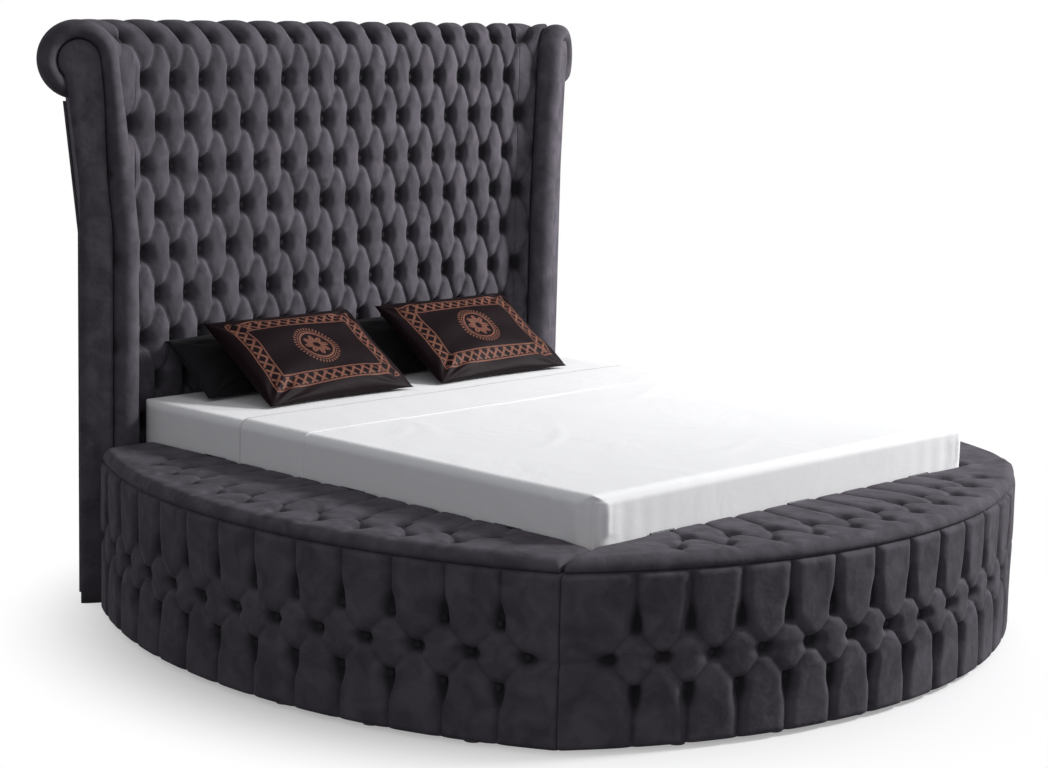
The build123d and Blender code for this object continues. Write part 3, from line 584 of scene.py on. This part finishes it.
def wing_border(name, sx):
    """Round roll swept along the path, with small puckers where the cover's buttons pull on it; its end tucks in
    behind the front panel."""
    crest, side, radius, step = border_path()
    a = np.linspace(0, 2 * np.pi, 40, endpoint=False)
    left = np.minimum((step[-1] - step) / 0.036, 1)
    end = np.sqrt(np.clip(1 - (1 - left) ** 2, 0.01, 1))
    middle = crest + side * radius[:, None]
    across = (radius * end)[:, None] * (1 + 0 * a)
    deep = (BORDER * end)[:, None] * (1 + 0 * a)
    inner = np.clip(np.cos(a - math.radians(150)), 0, 1) ** 4
    for row in HEAD_ROWS[3:8:2]:
        near = np.exp(-((crest[:, 1] - row) / 0.020) ** 2)
        across -= 0.014 * near[:, None] * inner[None]
        deep -= 0.014 * near[:, None] * inner[None]
    across -= 0.0008 * np.sin(step[:, None] * 31 + 2 * np.sin(a)) * end[:, None]
    out = middle[:, 0, None] - side[:, 0, None] * np.cos(a) * across
    z = middle[:, 1, None] - side[:, 1, None] * np.cos(a) * across
    tuck = 0.032 * eased(np.clip(1 - (step[-1] - step) / 0.075, 0, 1))
    along = WING_FRONT - BORDER - tuck[:, None] + np.sin(a) * deep
    loops = np.concatenate([wing_xy(sx, along, out), z[..., None]], -1)
    return loft(name + "_wing_border_look", loops)


def panel_outline():
    """Inner and outer edge of the front panel by height, ending in a round head."""
    crest, _, radius, _ = border_path()
    head = ROLL_R - 2 * SLIM + 0.0015
    low = np.concatenate([np.linspace(COVER_LOW, 1.10, 24), np.linspace(1.11, ROLL_Z - 0.002, 70)])
    z = np.concatenate([low, ROLL_Z + head * np.sin(np.linspace(0, np.pi / 2, 22))])
    half = np.sqrt(np.clip(head**2 - (z - ROLL_Z) ** 2, 0.0006**2, None))
    rise = (crest[:, 1] < ROLL_Z) & (np.arange(len(crest)) < crest[:, 1].argmax())
    strip = np.interp(z, crest[rise, 1], (crest[:, 0] + 2 * radius)[rise]) - 0.0015
    inner = np.where(z < ROLL_Z, strip, SCROLL_X - half)
    straight = 0.1746 + lean(np.minimum(z, 1.64)) + 0.19 * np.clip(z - 1.64, 0, 0.075)
    outer = np.where(z < ROLL_Z - 0.035, np.maximum(straight, SCROLL_X + half), SCROLL_X + half)
    return z, inner, np.maximum(outer, inner + 0.0008)


def wing_panel(name, sx):
    """Flat front panel with a slight swell between its edges."""
    z, inner, outer = panel_outline()
    t = np.linspace(0, 1, 13)
    back, front = WING_FRONT - 0.0197, WING_FRONT - 0.0095
    o = inner[:, None] + (outer - inner)[:, None] * t
    swell = 0.0055 * (1 - (2 * t - 1) ** 6) - 0.0035
    xy = np.concatenate([wing_xy(sx, front + swell + 0 * o, o), wing_xy(sx, back + 0 * o[:, ::12], o[:, ::-12])], 1)
    return loft(name + "_wing_panel_look", np.concatenate([xy, z[:, None, None] + 0 * xy[..., :1]], -1))


def wing_outer_cover(sx):
    """Thin cover on a wing's outer side: upright to the flare, then leaning out with the roll."""
    lo, hi, soft = 0.1703, 0.1745, 0.0014
    low, high = COVER_LOW, 1.6405
    z = np.concatenate([[low, low + soft], np.linspace(0.05, 1.16, 12), np.linspace(1.18, 1.60, 24),
                        [high - soft, high]])
    pull = np.zeros(len(z))
    pull[[0, -1]] = soft
    front = WING_FRONT - 0.0200
    points = []
    for out, along in ((lo, 0), (lo, 1), (hi - soft, 1), (hi, 0.995), (hi, 0)):
        back = (0.5 * (out + lean(z)) - 0.103) / math.cos(SPLAY) + 0.0003
        a = back + (front - back) * along
        o = out + lean(z) - (pull if out > lo else 0)
        points.append(np.concatenate([wing_xy(sx, a, o), z[:, None]], -1))
    return np.stack(points, 1)


# ---------------------------------------------------------------- bedding

def mattress_loops():
    """Section loops of the mattress from low to high: round plan corners, round top and bottom edges."""
    ring = []
    for sx, sy, a0 in ((1, 1, 0), (-1, 1, 90), (-1, -1, 180), (1, -1, 270)):
        for a in np.radians(np.linspace(a0, a0 + 90, 9)):
            ring.append((sx * (BED_X - BED_CORNER), sy * (BED_Y - BED_CORNER), math.cos(a), math.sin(a)))
    dense = []
    ring = np.array(ring)
    for p, n in zip(ring, np.roll(ring, -1, 0)):
        gap = np.linalg.norm(n[:2] + BED_CORNER * n[2:] - p[:2] - BED_CORNER * p[2:])
        steps = max(1, round(float(gap / (2 * BED_X / 24))))
        dense += [p + (n - p) * (k / steps) for k in range(steps)]
    dense = np.array(dense)
    way = dense[:, 2:] / np.linalg.norm(dense[:, 2:], axis=1)[:, None]
    turn = np.linspace(0, np.pi / 2, 7)
    levels = [(BED_EDGE * (1 - np.sin(a)), BED_LOW + BED_EDGE * (1 - np.cos(a))) for a in turn]
    levels += [(0, z) for z in np.linspace(BED_LOW + BED_EDGE, BED_HIGH - BED_EDGE, 12)[1:-1]]
    levels += [(BED_EDGE * (1 - np.cos(a)), BED_HIGH - BED_EDGE * (1 - np.sin(a))) for a in turn]
    rows = []
    for pull, z in levels:
        xy = dense[:, :2] + way * (BED_CORNER - pull) + (0, BED_MIDDLE + MID)
        rows.append(np.concatenate([xy, np.full((len(xy), 1), z)], -1))
    return np.array(rows)


def spaced(start, end, turn, count):
    """Values from start to end, three times as close together around plus and minus turn."""
    t = np.linspace(start, end, 2000)
    weight = 1 + 2.5 * np.exp(-((np.abs(t) - turn) / 0.07) ** 2)
    total = np.concatenate([[0], np.cumsum((weight[1:] + weight[:-1]) / 2)])
    return np.interp(np.linspace(0, total[-1], count), total, t)


def sheet_grid(y_from, y_to, grow, hem, seed, nx=200, ny=210):
    """Sheet over the mattress top that turns down its sides: a grid wrapped round the rounded box. With a seed,
    calm() adds waves and creases, and the spare cloth at the corners is folded in."""
    hx, hy = BED_X + grow, BED_Y + grow
    edge, corner = BED_EDGE + grow, BED_CORNER + grow
    top = BED_HIGH + grow
    total_x, total_y = (half - edge + edge * np.pi / 2 + top - hem - edge for half in (hx, hy))

    def wrap(t, half):
        """Distance t from the middle along the cloth to (sideways reach, drop below the top)."""
        flat = half - edge
        a = np.clip((np.abs(t) - flat) / edge, 0, np.pi / 2)
        down = np.clip(np.abs(t) - flat - edge * np.pi / 2, 0, None)
        return np.sign(t) * (np.minimum(np.abs(t), flat) + edge * np.sin(a)), edge * (1 - np.cos(a)) + down

    xs = spaced(-total_x, total_x, hx - 0.01, nx)
    ys = spaced(-total_y if y_from is None else y_from - BED_MIDDLE,
                total_y if y_to is None else y_to - BED_MIDDLE, hy - 0.01, ny)
    gx, gy = np.meshgrid(xs, ys, indexing="ij")
    px, dx = wrap(gx, hx)
    py, dy = wrap(gy, hy)
    down = np.maximum(dx, dy)
    # round plan corners: pull points back onto the corner arc
    cx, cy = hx - corner, hy - corner
    ox, oy = np.abs(px) - cx, np.abs(py) - cy
    both = (ox > 0) & (oy > 0)
    over = np.minimum(1, corner / np.maximum(np.hypot(ox, oy), 1e-9))
    px = np.where(both, np.sign(px) * (cx + ox * over), px)
    py = np.where(both, np.sign(py) * (cy + oy * over), py)
    z = top - down
    if seed:
        w = calm(gx, gy, seed)
        turned = edge * 0.6
        side_x = np.where(dx > turned, np.sign(gx), 0)
        side_y = np.where(dy > turned, np.sign(gy), 0)
        z = z + np.where((dx < turned) & (dy < turned), w, 0)
        # near the hinges the folds stay clear of an opened lid
        limit = 0.0032 + 0.28 * np.clip(z - 0.548, 0, None)

        def tuck(near, tall, at, wave, pitch, start, far):
            """One upright fold near the corner and waves that fade along the side."""
            fold = tall * np.exp(-((near - at) / 0.012) ** 2)
            fold = fold + wave * (1 + np.sin(near * pitch + start)) * np.exp(-(near / far))
            return np.minimum(fold * np.clip(down / 0.05, 0, 1) + w * 0.7, limit)

        px = px + side_x * tuck(hy - np.abs(py), 0.0035, 0.060, 0.0022, 95, 0, 0.16) * (1 - np.abs(side_y))
        py = py + side_y * tuck(hx - np.abs(px), 0.0050, 0.055, 0.0026, 80, 1, 0.15) * (1 - np.abs(side_x))
    return np.stack([px, py + BED_MIDDLE + MID, z], -1)


def calm(gx, gy, seed):
    """Soft waves of a smoothed sheet and a few long shallow creases, never below the surface."""
    w = 0.0012 * (1 + np.sin(gx * 5.1 + seed) * np.sin(gy * 4.3 + 1.7 * seed))
    for ax, ay, turn, long, tall in (
            (-0.35, -0.30, 0.5, 0.22, 0.0016), (0.25, -0.55, -0.7, 0.26, 0.0014), (0.45, 0.05, 0.2, 0.20, 0.0014),
            (-0.55, 0.12, 1.2, 0.18, 0.0012), (-0.05, -0.75, 0.1, 0.25, 0.0013), (0.1, 0.25, -0.3, 0.22, 0.0012)):
        u = (gx - ax) * math.cos(turn) + (gy - ay) * math.sin(turn)
        v = -(gx - ax) * math.sin(turn) + (gy - ay) * math.cos(turn) + 0.05 * np.sin(u * 7 + seed)
        w = w + tall * np.exp(-(v / 0.022) ** 2) * np.exp(-(u / long) ** 2)
    return w + 0.0005 * (1 + np.sin(gx * 13 + gy * 7 + seed))


def cloth(name, grid, thick):
    """Closed thin cloth: the grid and a copy thick below it along the surface normal, joined at the edges."""
    rows, cols = grid.shape[:2]
    du, dv = np.gradient(grid, axis=0), np.gradient(grid, axis=1)
    n = np.cross(du, dv)
    n /= np.maximum(np.linalg.norm(n, axis=-1), 1e-9)[..., None]
    if n[rows // 2, cols // 2, 2] < 0:
        n = -n
    under = grid - n * thick
    q = grid_faces(rows, cols)
    count = rows * cols
    index = np.arange(count).reshape(rows, cols)
    loop = np.concatenate([index[0], index[1:, -1], index[-1, -2::-1], index[-2:0:-1, 0]])
    nxt = np.roll(loop, -1)
    rim = np.stack([loop, loop + count, nxt + count, nxt], -1)
    p = np.concatenate([grid.reshape(-1, 3), under.reshape(-1, 3)])
    faces = np.concatenate([q[:, ::-1], q + count, rim[:, ::-1]])
    if volume(p, faces) < 0:
        faces = faces[:, ::-1]
    gx, gy = np.meshgrid(np.linspace(0, 1, rows), np.linspace(0, 1, cols), indexing="ij")
    one = np.stack([gx, gy], -1).reshape(-1, 2)
    return mesh(name, p, faces, (), np.concatenate([one, one]))


def pillow(name, width, depth, thick, tilt, x, seed, near=None, far=None):
    """Stuffed pillow: half thickness thick/2 * ((1-x^2.6)(1-y^2.6))^0.46 over a plan with drawn-in sides, creases
    that fan from the corners, then leant by tilt. Its low edge is at near, or its high edge at far."""
    n = 72
    a = np.linspace(-1, 1, n)
    a = np.sign(a) * np.abs(a) ** 0.8
    gx, gy = np.meshgrid(a, a, indexing="ij")
    r = np.random.default_rng(seed)
    lift = np.clip((1 - np.abs(gx) ** 2.6) * (1 - np.abs(gy) ** 2.6), 0, 1) ** 0.46
    draw_x = 1 - 0.040 * (1 - gy**2)
    draw_y = 1 - 0.060 * (1 - gx**2)
    px, py = gx * width / 2 * draw_x, gy * depth / 2 * draw_y
    fan = 0
    for cx in (-1, 1):
        for cy in (-1, 1):
            d = np.hypot(gx - cx, gy - cy)
            ang = np.arctan2(np.abs(gy - cy), np.abs(gx - cx))
            fan = fan + 0.007 * np.cos(ang * 13 + r.uniform(0, 6)) * np.exp(-((d - 0.34) / 0.24) ** 2)
    soft = 0.005 * np.sin(gx * 3.1 + r.uniform(0, 6)) * np.sin(gy * 2.7 + r.uniform(0, 6))
    # slack cloth gathers in shallow curved folds across the middle
    wave = np.sin(9 * gy + 2.2 * np.sin(2 * gx + r.uniform(0, 6)) + r.uniform(0, 6))
    folds = 0.0030 * wave * np.exp(-(gx * 0.9) ** 2)
    seamless = np.clip(lift * 1.4, 0, 1)
    upper = thick / 2 * lift + (fan + soft + folds) * seamless
    lower = -thick / 2 * lift + (soft * 0.5) * seamless
    pts = np.concatenate([np.stack([px, py, height], -1).reshape(-1, 3) for height in (upper, lower)])
    c, s = math.cos(tilt), math.sin(tilt)
    pts = pts @ np.array([[1, 0, 0], [0, c, s], [0, -s, c]])
    pts[:, 0] += x
    pts[:, 1] += MID + (far - pts[:, 1].max() if near is None else near - pts[:, 1].min())
    # the low edge settles on the bed: heights below a soft floor are pressed up
    bed, give = 0.6662, 0.02
    t = pts[:, 2] - pts[:, 2].min() - 0.004
    pts[:, 2] = bed + np.where(t < give, give * np.exp((t - give) / give), t)
    # the shared seam: the outermost ring of both halves is one set of points
    q, count = grid_faces(n, n), n * n
    border = np.ones((n, n), bool)
    border[1:-1, 1:-1] = False
    same = np.arange(2 * count)
    same[count:][border.ravel()] = np.flatnonzero(border)
    faces = np.concatenate([q, same[q + count][:, ::-1]])
    used, inverse = np.unique(faces, return_inverse=True)
    uv = np.concatenate([np.stack([gx, gy], -1).reshape(-1, 2)] * 2)[used] * 0.5 + 0.5
    pts, faces = pts[used], inverse.reshape(-1, 4)
    if volume(pts, faces) < 0:
        faces = faces[:, ::-1]
    return mesh(name, pts, faces, (), uv)


# ---------------------------------------------------------------- materials

def wire(n, inputs):
    """Fills a node's inputs: the output of another node is linked, any other value is set."""
    for key, value in inputs.items():
        if isinstance(value, bpy.types.NodeSocket):
            n.id_data.links.new(value, n.inputs[key])
        else:
            n.inputs[key].default_value = value


def node(tree, kind, inputs, **settings):
    """Outputs of a new node with these settings and inputs."""
    n = tree.nodes.new(kind)
    for key, value in settings.items():
        setattr(n, key, value)
    wire(n, inputs)
    return n.outputs


def material(name):
    m = bpy.data.materials.new(name)
    m.use_nodes = True
    return m, m.node_tree, m.node_tree.nodes["Principled BSDF"]


def coords(tree):
    """The piece's own coordinates and its UV map."""
    place = node(tree, "ShaderNodeTexCoord", {})
    return place["Object"], place["UV"]


def noise(tree, where, scale, detail=2, distortion=0):
    inputs = {"Vector": where, "Scale": scale, "Detail": detail, "Distortion": distortion}
    return node(tree, "ShaderNodeTexNoise", inputs)["Fac"]


def ramp(tree, value, low, high, bottom=0, top=1, kind="SMOOTHSTEP"):
    inputs = {"Value": value, "From Min": low, "From Max": high, "To Min": bottom, "To Max": top}
    return node(tree, "ShaderNodeMapRange", inputs, interpolation_type=kind)["Result"]


def blend(tree, share, first, second):
    """Colour between first and second by share."""
    return node(tree, "ShaderNodeMix", {"Factor": share, "A": first, "B": second}, data_type="RGBA")["Result"]


def bump(tree, height, strength, distance, under=None):
    inputs = {"Height": height, "Strength": strength, "Distance": distance}
    if under:
        inputs["Normal"] = under
    return node(tree, "ShaderNodeBump", inputs)["Normal"]


def calc(tree, operation, *values):
    return node(tree, "ShaderNodeMath", dict(enumerate(values)), operation=operation)["Value"]


def velvet(name, colour):
    """Short pile: dark body, faint grazing sheen, brushed patches, a fine nap, and painted shade that darkens the
    colour down in the button hollows.
    """
    m, tree, base = material(name)
    where, uv = coords(tree)
    # deepest is the painted shade colour at the bottom of the button hollows; darker and lighter are the brushed
    # patches
    darker, lighter, deepest = ((*[c * k for c in colour], 1) for k in (0.78, 1.24, 0.15))
    patch = ramp(tree, noise(tree, where, 13, 5, 0.6), 0.36, 0.64, kind="LINEAR")
    # painted shade: the colour darkens towards deepest down in the button hollows, by the hollow depth held in the UV's
    # Y
    hollow = ramp(tree, node(tree, "ShaderNodeSeparateXYZ", {"Vector": uv})["Y"], 0.30, 0.95, 0, 0.80)
    nap = calc(tree, "MULTIPLY_ADD", noise(tree, where, 34, 3), 6.0, noise(tree, where, 420, 3))
    wire(base, {"Base Color": blend(tree, hollow, blend(tree, patch, darker, lighter), deepest),
                "Roughness": 0.86, "Specular IOR Level": 0.12,
                "Sheen Weight": 0.05, "Sheen Roughness": 0.40, "Sheen Tint": (0.80, 0.77, 0.84, 1),
                "Normal": bump(tree, nap, 0.35, 0.0012)})
    return m


def cotton(name, colour, rough=0.8, fold=0.009, sheen=0.15):
    """Plain woven cotton: fine thread bump and faint soft creases."""
    m, tree, base = material(name)
    where, _ = coords(tree)
    crease = bump(tree, noise(tree, where, 3.2, 5, 1.4), 0.5, fold)
    wire(base, {"Base Color": (*colour, 1), "Roughness": rough, "Specular IOR Level": 0.25, "Sheen Weight": sheen,
                "Normal": bump(tree, noise(tree, where, 700), 0.25, 0.0006, crease)})
    return m


def satin(name):
    """Dark brown satin with copper work in the weave: a square frame of lozenges and a round rosette."""
    m, tree, base = material(name)
    where, uv = coords(tree)
    times, plus, minus, most, above, below, size = (partial(calc, tree, operation) for operation in (
        "MULTIPLY", "ADD", "SUBTRACT", "MAXIMUM", "GREATER_THAN", "LESS_THAN", "ABSOLUTE"))

    def band(value, low, high):
        """1 between low and high, 0 elsewhere."""
        return times(above(value, low), below(value, high))

    def near(value, middle, half):
        return below(size(minus(value, middle)), half)

    def slanted(run):
        """Stripes across a run, 24 to the metre."""
        return above(size(minus(calc(tree, "FRACT", times(run, 24)), 0.5)), 0.36)

    # x and y from the pillow's middle, in metres, and the distance in from its edge
    place = node(tree, "ShaderNodeSeparateXYZ", {"Vector": uv})
    x, y = times(minus(place["X"], 0.5), PILLOW_WIDE), times(minus(place["Y"], 0.5), PILLOW_DEEP)
    depth = times(most(minus(size(x), PILLOW_WIDE / 2), minus(size(y), PILLOW_DEEP / 2)), -1)
    lozenges = times(band(depth, 0.050, 0.088), most(slanted(plus(x, y)), slanted(minus(x, y))))
    # rosette: eight petals from the angle, rings and beads from the radius
    r = calc(tree, "SQRT", plus(times(x, x), times(y, y)))
    angle = calc(tree, "ARCTAN2", y, x)
    petal = plus(0.043, times(calc(tree, "COSINE", times(angle, 8)), 0.009))
    vein = below(size(calc(tree, "SINE", times(angle, 8))), 0.35)
    petals = times(times(below(r, petal), above(r, 0.014)), minus(1, times(vein, 0.7)))
    beads = times(near(r, 0.083, 0.005), above(calc(tree, "SINE", times(angle, 40)), 0.2))
    copper = reduce(most, (lozenges, band(depth, 0.042, 0.047), band(depth, 0.091, 0.096),
                           petals, near(r, 0.064, 0.0035), near(r, 0.073, 0.0015), beads))
    worn = plus(0.55, times(noise(tree, where, 90), 0.6))
    wire(base, {"Base Color": blend(tree, times(copper, worn), (0.0080, 0.0032, 0.0046, 1), (0.19, 0.080, 0.055, 1)),
                "Roughness": 0.60, "Specular IOR Level": 0.07, "Sheen Weight": 0.01,
                "Normal": bump(tree, noise(tree, where, 9, 4, 0.8), 0.35, 0.008)})
    return m


def timber(name, pale, dark):
    """Wood with long rings along one axis."""
    m, tree, base = material(name)
    along = node(tree, "ShaderNodeMapping", {"Vector": coords(tree)[0], "Scale": (14, 1.2, 14)})["Vector"]
    wire(base, {"Base Color": blend(tree, noise(tree, along, 3, 6), (*dark, 1), (*pale, 1)), "Roughness": 0.6})
    return m


def hard(name, colour, metal):
    """Metal or plastic with a fine grain in its shine."""
    m, tree, base = material(name)
    grain = ramp(tree, noise(tree, coords(tree)[0], 300), 0, 1, 0.44, 0.56, "LINEAR")
    wire(base, {"Base Color": (*colour, 1), "Metallic": metal, "Roughness": grain})
    return m


MATERIALS = {
    "charcoal_velvet": velvet("velvet", (0.080, 0.072, 0.086)),
    # the buttons' velvet is coloured darker than the cover's: painted shade of the hollows they sit in
    "velvet_buttons": velvet("button velvet with painted shade", (0.028, 0.025, 0.030)),
    "mattress_foam": cotton("mattress cover", (0.80, 0.80, 0.78), 0.9),
    "white_cotton": cotton("white cotton", (0.86, 0.86, 0.87)),
    "black_cotton": cotton("black cotton", (0.0055, 0.0050, 0.0065), 0.85, 0.012, 0.03),
    "brown_satin": satin("brown satin"),
    "plywood": timber("plywood", (0.62, 0.46, 0.30), (0.48, 0.34, 0.20)),
    "solid_wood": timber("solid wood", (0.66, 0.50, 0.33), (0.50, 0.36, 0.22)),
    "hinge_steel": hard("blackened steel", (0.050, 0.050, 0.054), 0.6),
    "glide_plastic": hard("black plastic", (0.02, 0.02, 0.02), 0.0)}


# ---------------------------------------------------------------- the bed

for name in ("left", "right", "foot"):
    bench = Bench(name)
    settle(bench_cover(bench), name + "_bench_cover", "charcoal_velvet")
    settle(joined(name + "_bench_buttons_look", bench_button_blocks(bench)), name + "_bench_buttons", "velvet_buttons")
    lid = settle(lid_cover(bench), name + "_lid_cushion", "charcoal_velvet", name + "_lid")
    buttons = joined(name + "_lid_buttons_look", lid_button_blocks(bench))
    settle(buttons, name + "_lid_buttons", "velvet_buttons", name + "_lid")

settle(headboard(), "headboard_cushion", "charcoal_velvet")
settle(joined("headboard_buttons_look", head_button_blocks()), "headboard_buttons", "velvet_buttons")
for name, sx in (("left", -1), ("right", 1)):
    settle(wing_cushion(name, sx), name + "_wing_cushion", "charcoal_velvet")
    settle(wing_border(name, sx), name + "_wing_border_roll", "charcoal_velvet")
    settle(wing_panel(name, sx), name + "_wing_front_panel", "charcoal_velvet")
outer_covers = joined("wing_outer_covers_look", [block(wing_outer_cover(sx)) for sx in (-1, 1)], smooth=False)
settle(outer_covers, "wing_outer_covers", "charcoal_velvet")

settle(loft("mattress_look", mattress_loops()), "mattress", "mattress_foam")
fitted = cloth("fitted_sheet_look", sheet_grid(None, None, 0.0020, 0.450, 0, 150, 150), 0.0012)
settle(fitted, "fitted_sheet", "white_cotton")
sheet = cloth("folded_top_sheet_look", sheet_grid(None, 0.533, 0.0042, 0.472, 2.0), 0.0014)
band = cloth("top_sheet_fold", sheet_grid(0.233, 0.5335, 0.0060, 0.476, 2.0, 200, 40), 0.0014)
settle(sheet, "folded_top_sheet", "white_cotton")
settle(band, None, "white_cotton")

for name, side in (("left", -1), ("right", 1)):
    front = pillow(name + "_front_pillow_look", PILLOW_WIDE, PILLOW_DEEP, 0.110, math.radians(34), side * 0.380,
                   11 + side, near=0.627)
    settle(front, name + "_front_pillow", "brown_satin")
    back = pillow(name + "_back_pillow_look", 0.739, 0.280, 0.102, math.radians(36), side * 0.3947,
                  21 + side, far=1.0837)
    settle(back, name + "_back_pillow", "black_cotton")

for entry in frame["record"]["subparts"]:
    piece = frame["nodes"][entry["node"]]
    if not piece.hide_render:
        piece.data.materials.clear()
        piece.data.materials.append(MATERIALS[entry["material_slot"]])


# ---------------------------------------------------------------- stage, light and camera

half = 40
corners = [(-half, -half, 0), (half, -half, 0), (half, half, 0), (-half, half, 0)]
floor = mesh("floor", corners, [[0, 1, 2, 3]], smooth=False)
pale, tree, near_floor = material("pale floor")
wire(near_floor, {"Base Color": (0.93, 0.93, 0.94, 1), "Roughness": 0.9, "Specular IOR Level": 0.05})
path = node(tree, "ShaderNodeLightPath", {})
seen = reduce(partial(calc, tree, "MAXIMUM"), [path[ray] for ray in (
    "Is Camera Ray", "Is Glossy Ray", "Is Transmission Ray")])
# the floor keeps the soft shadow round the bed and runs out into plain white
place = node(tree, "ShaderNodeSeparateXYZ", {"Vector": coords(tree)[0]})
x, y = place["X"], place["Y"]
away = calc(tree, "SQRT", calc(tree, "MULTIPLY_ADD", y, y, calc(tree, "MULTIPLY", x, x)))
white = node(tree, "ShaderNodeEmission", {})["Emission"]
grey = node(tree, "ShaderNodeBsdfDiffuse", {"Color": (0.12, 0.12, 0.125, 1)})["BSDF"]
shown = node(tree, "ShaderNodeMixShader", {
    "Fac": ramp(tree, away, 1.25, 1.85, 0.30), 1: near_floor.outputs["BSDF"], 2: white})["Shader"]
wire(tree.nodes["Material Output"], {
    "Surface": node(tree, "ShaderNodeMixShader", {"Fac": seen, 1: grey, 2: shown})["Shader"]})
floor.data.materials.append(pale)

world = bpy.data.worlds.new("room")
bpy.context.scene.world = world
world.use_nodes = True
tree = world.node_tree
room = tree.nodes["Background"]
wire(room, {"Color": (0.95, 0.96, 1.0, 1), "Strength": 0.33})
plain = node(tree, "ShaderNodeBackground", {"Color": (1, 1, 1, 1), "Strength": 1.0})["Background"]
camera_ray = node(tree, "ShaderNodeLightPath", {})["Is Camera Ray"]
wire(tree.nodes["World Output"], {"Surface": node(tree, "ShaderNodeMixShader", {
    "Fac": camera_ray, 1: room.outputs["Background"], 2: plain})["Shader"]})


def lamp(name, kind, place, target, power, **settings):
    """A lamp at place that shines towards target."""
    data = bpy.data.lights.new(name, kind)
    data.energy = power
    for key, value in settings.items():
        setattr(data, key, value)
    ob = bpy.data.objects.new(name, data)
    bpy.context.collection.objects.link(ob)
    ob.location = place
    ob.rotation_mode = "QUATERNION"
    ob.rotation_quaternion = (Vector(target) - Vector(place)).to_track_quat("-Z", "Y")


lamp("key", "AREA", (6.7, -4.75, 5.45), (0, 0, 0.7), 960, shape="DISK", size=2.0)
lamp("fill", "AREA", (-6.0, -4.0, 3.4), (0, 0, 0.8), 42, shape="DISK", size=4.0, color=(0.97, 0.98, 1.0))
# a soft beam on the headboard alone, raking from the right
lamp("headboard beam", "SPOT", (4.5, -1.5, 1.9), (-0.3, 1.1, 1.35), 640,
     spot_size=math.radians(54), spot_blend=1.0, shadow_soft_size=0.7)
lamp("top", "AREA", (0.5, -0.6, 6.5), (0, 0, 0.5), 20, shape="DISK", size=3.5)

camera_data = bpy.data.cameras.new("camera")
camera_data.lens = 82.84
camera_data.sensor_width = 36
camera_data.clip_start, camera_data.clip_end = 0.1, 100
camera = bpy.data.objects.new("camera", camera_data)
bpy.context.collection.objects.link(camera)
azimuth, pitch, roll = math.radians(-46.528), math.radians(9.390), math.radians(1.512)
back = Vector((math.sin(azimuth) * math.cos(pitch), -math.cos(azimuth) * math.cos(pitch), math.sin(pitch)))
right = (-back).cross(Vector((0, 0, 1))).normalized()
up = right.cross(-back)
right, up = right * math.cos(roll) + up * math.sin(roll), up * math.cos(roll) - right * math.sin(roll)
turned = Matrix((right, up, back)).transposed().to_4x4()
camera.matrix_world = Matrix.Translation((-5.6375, -5.1662 + MID, 2.0223)) @ turned
bpy.context.scene.camera = camera
bpy.context.scene.view_settings.view_transform = "Standard"
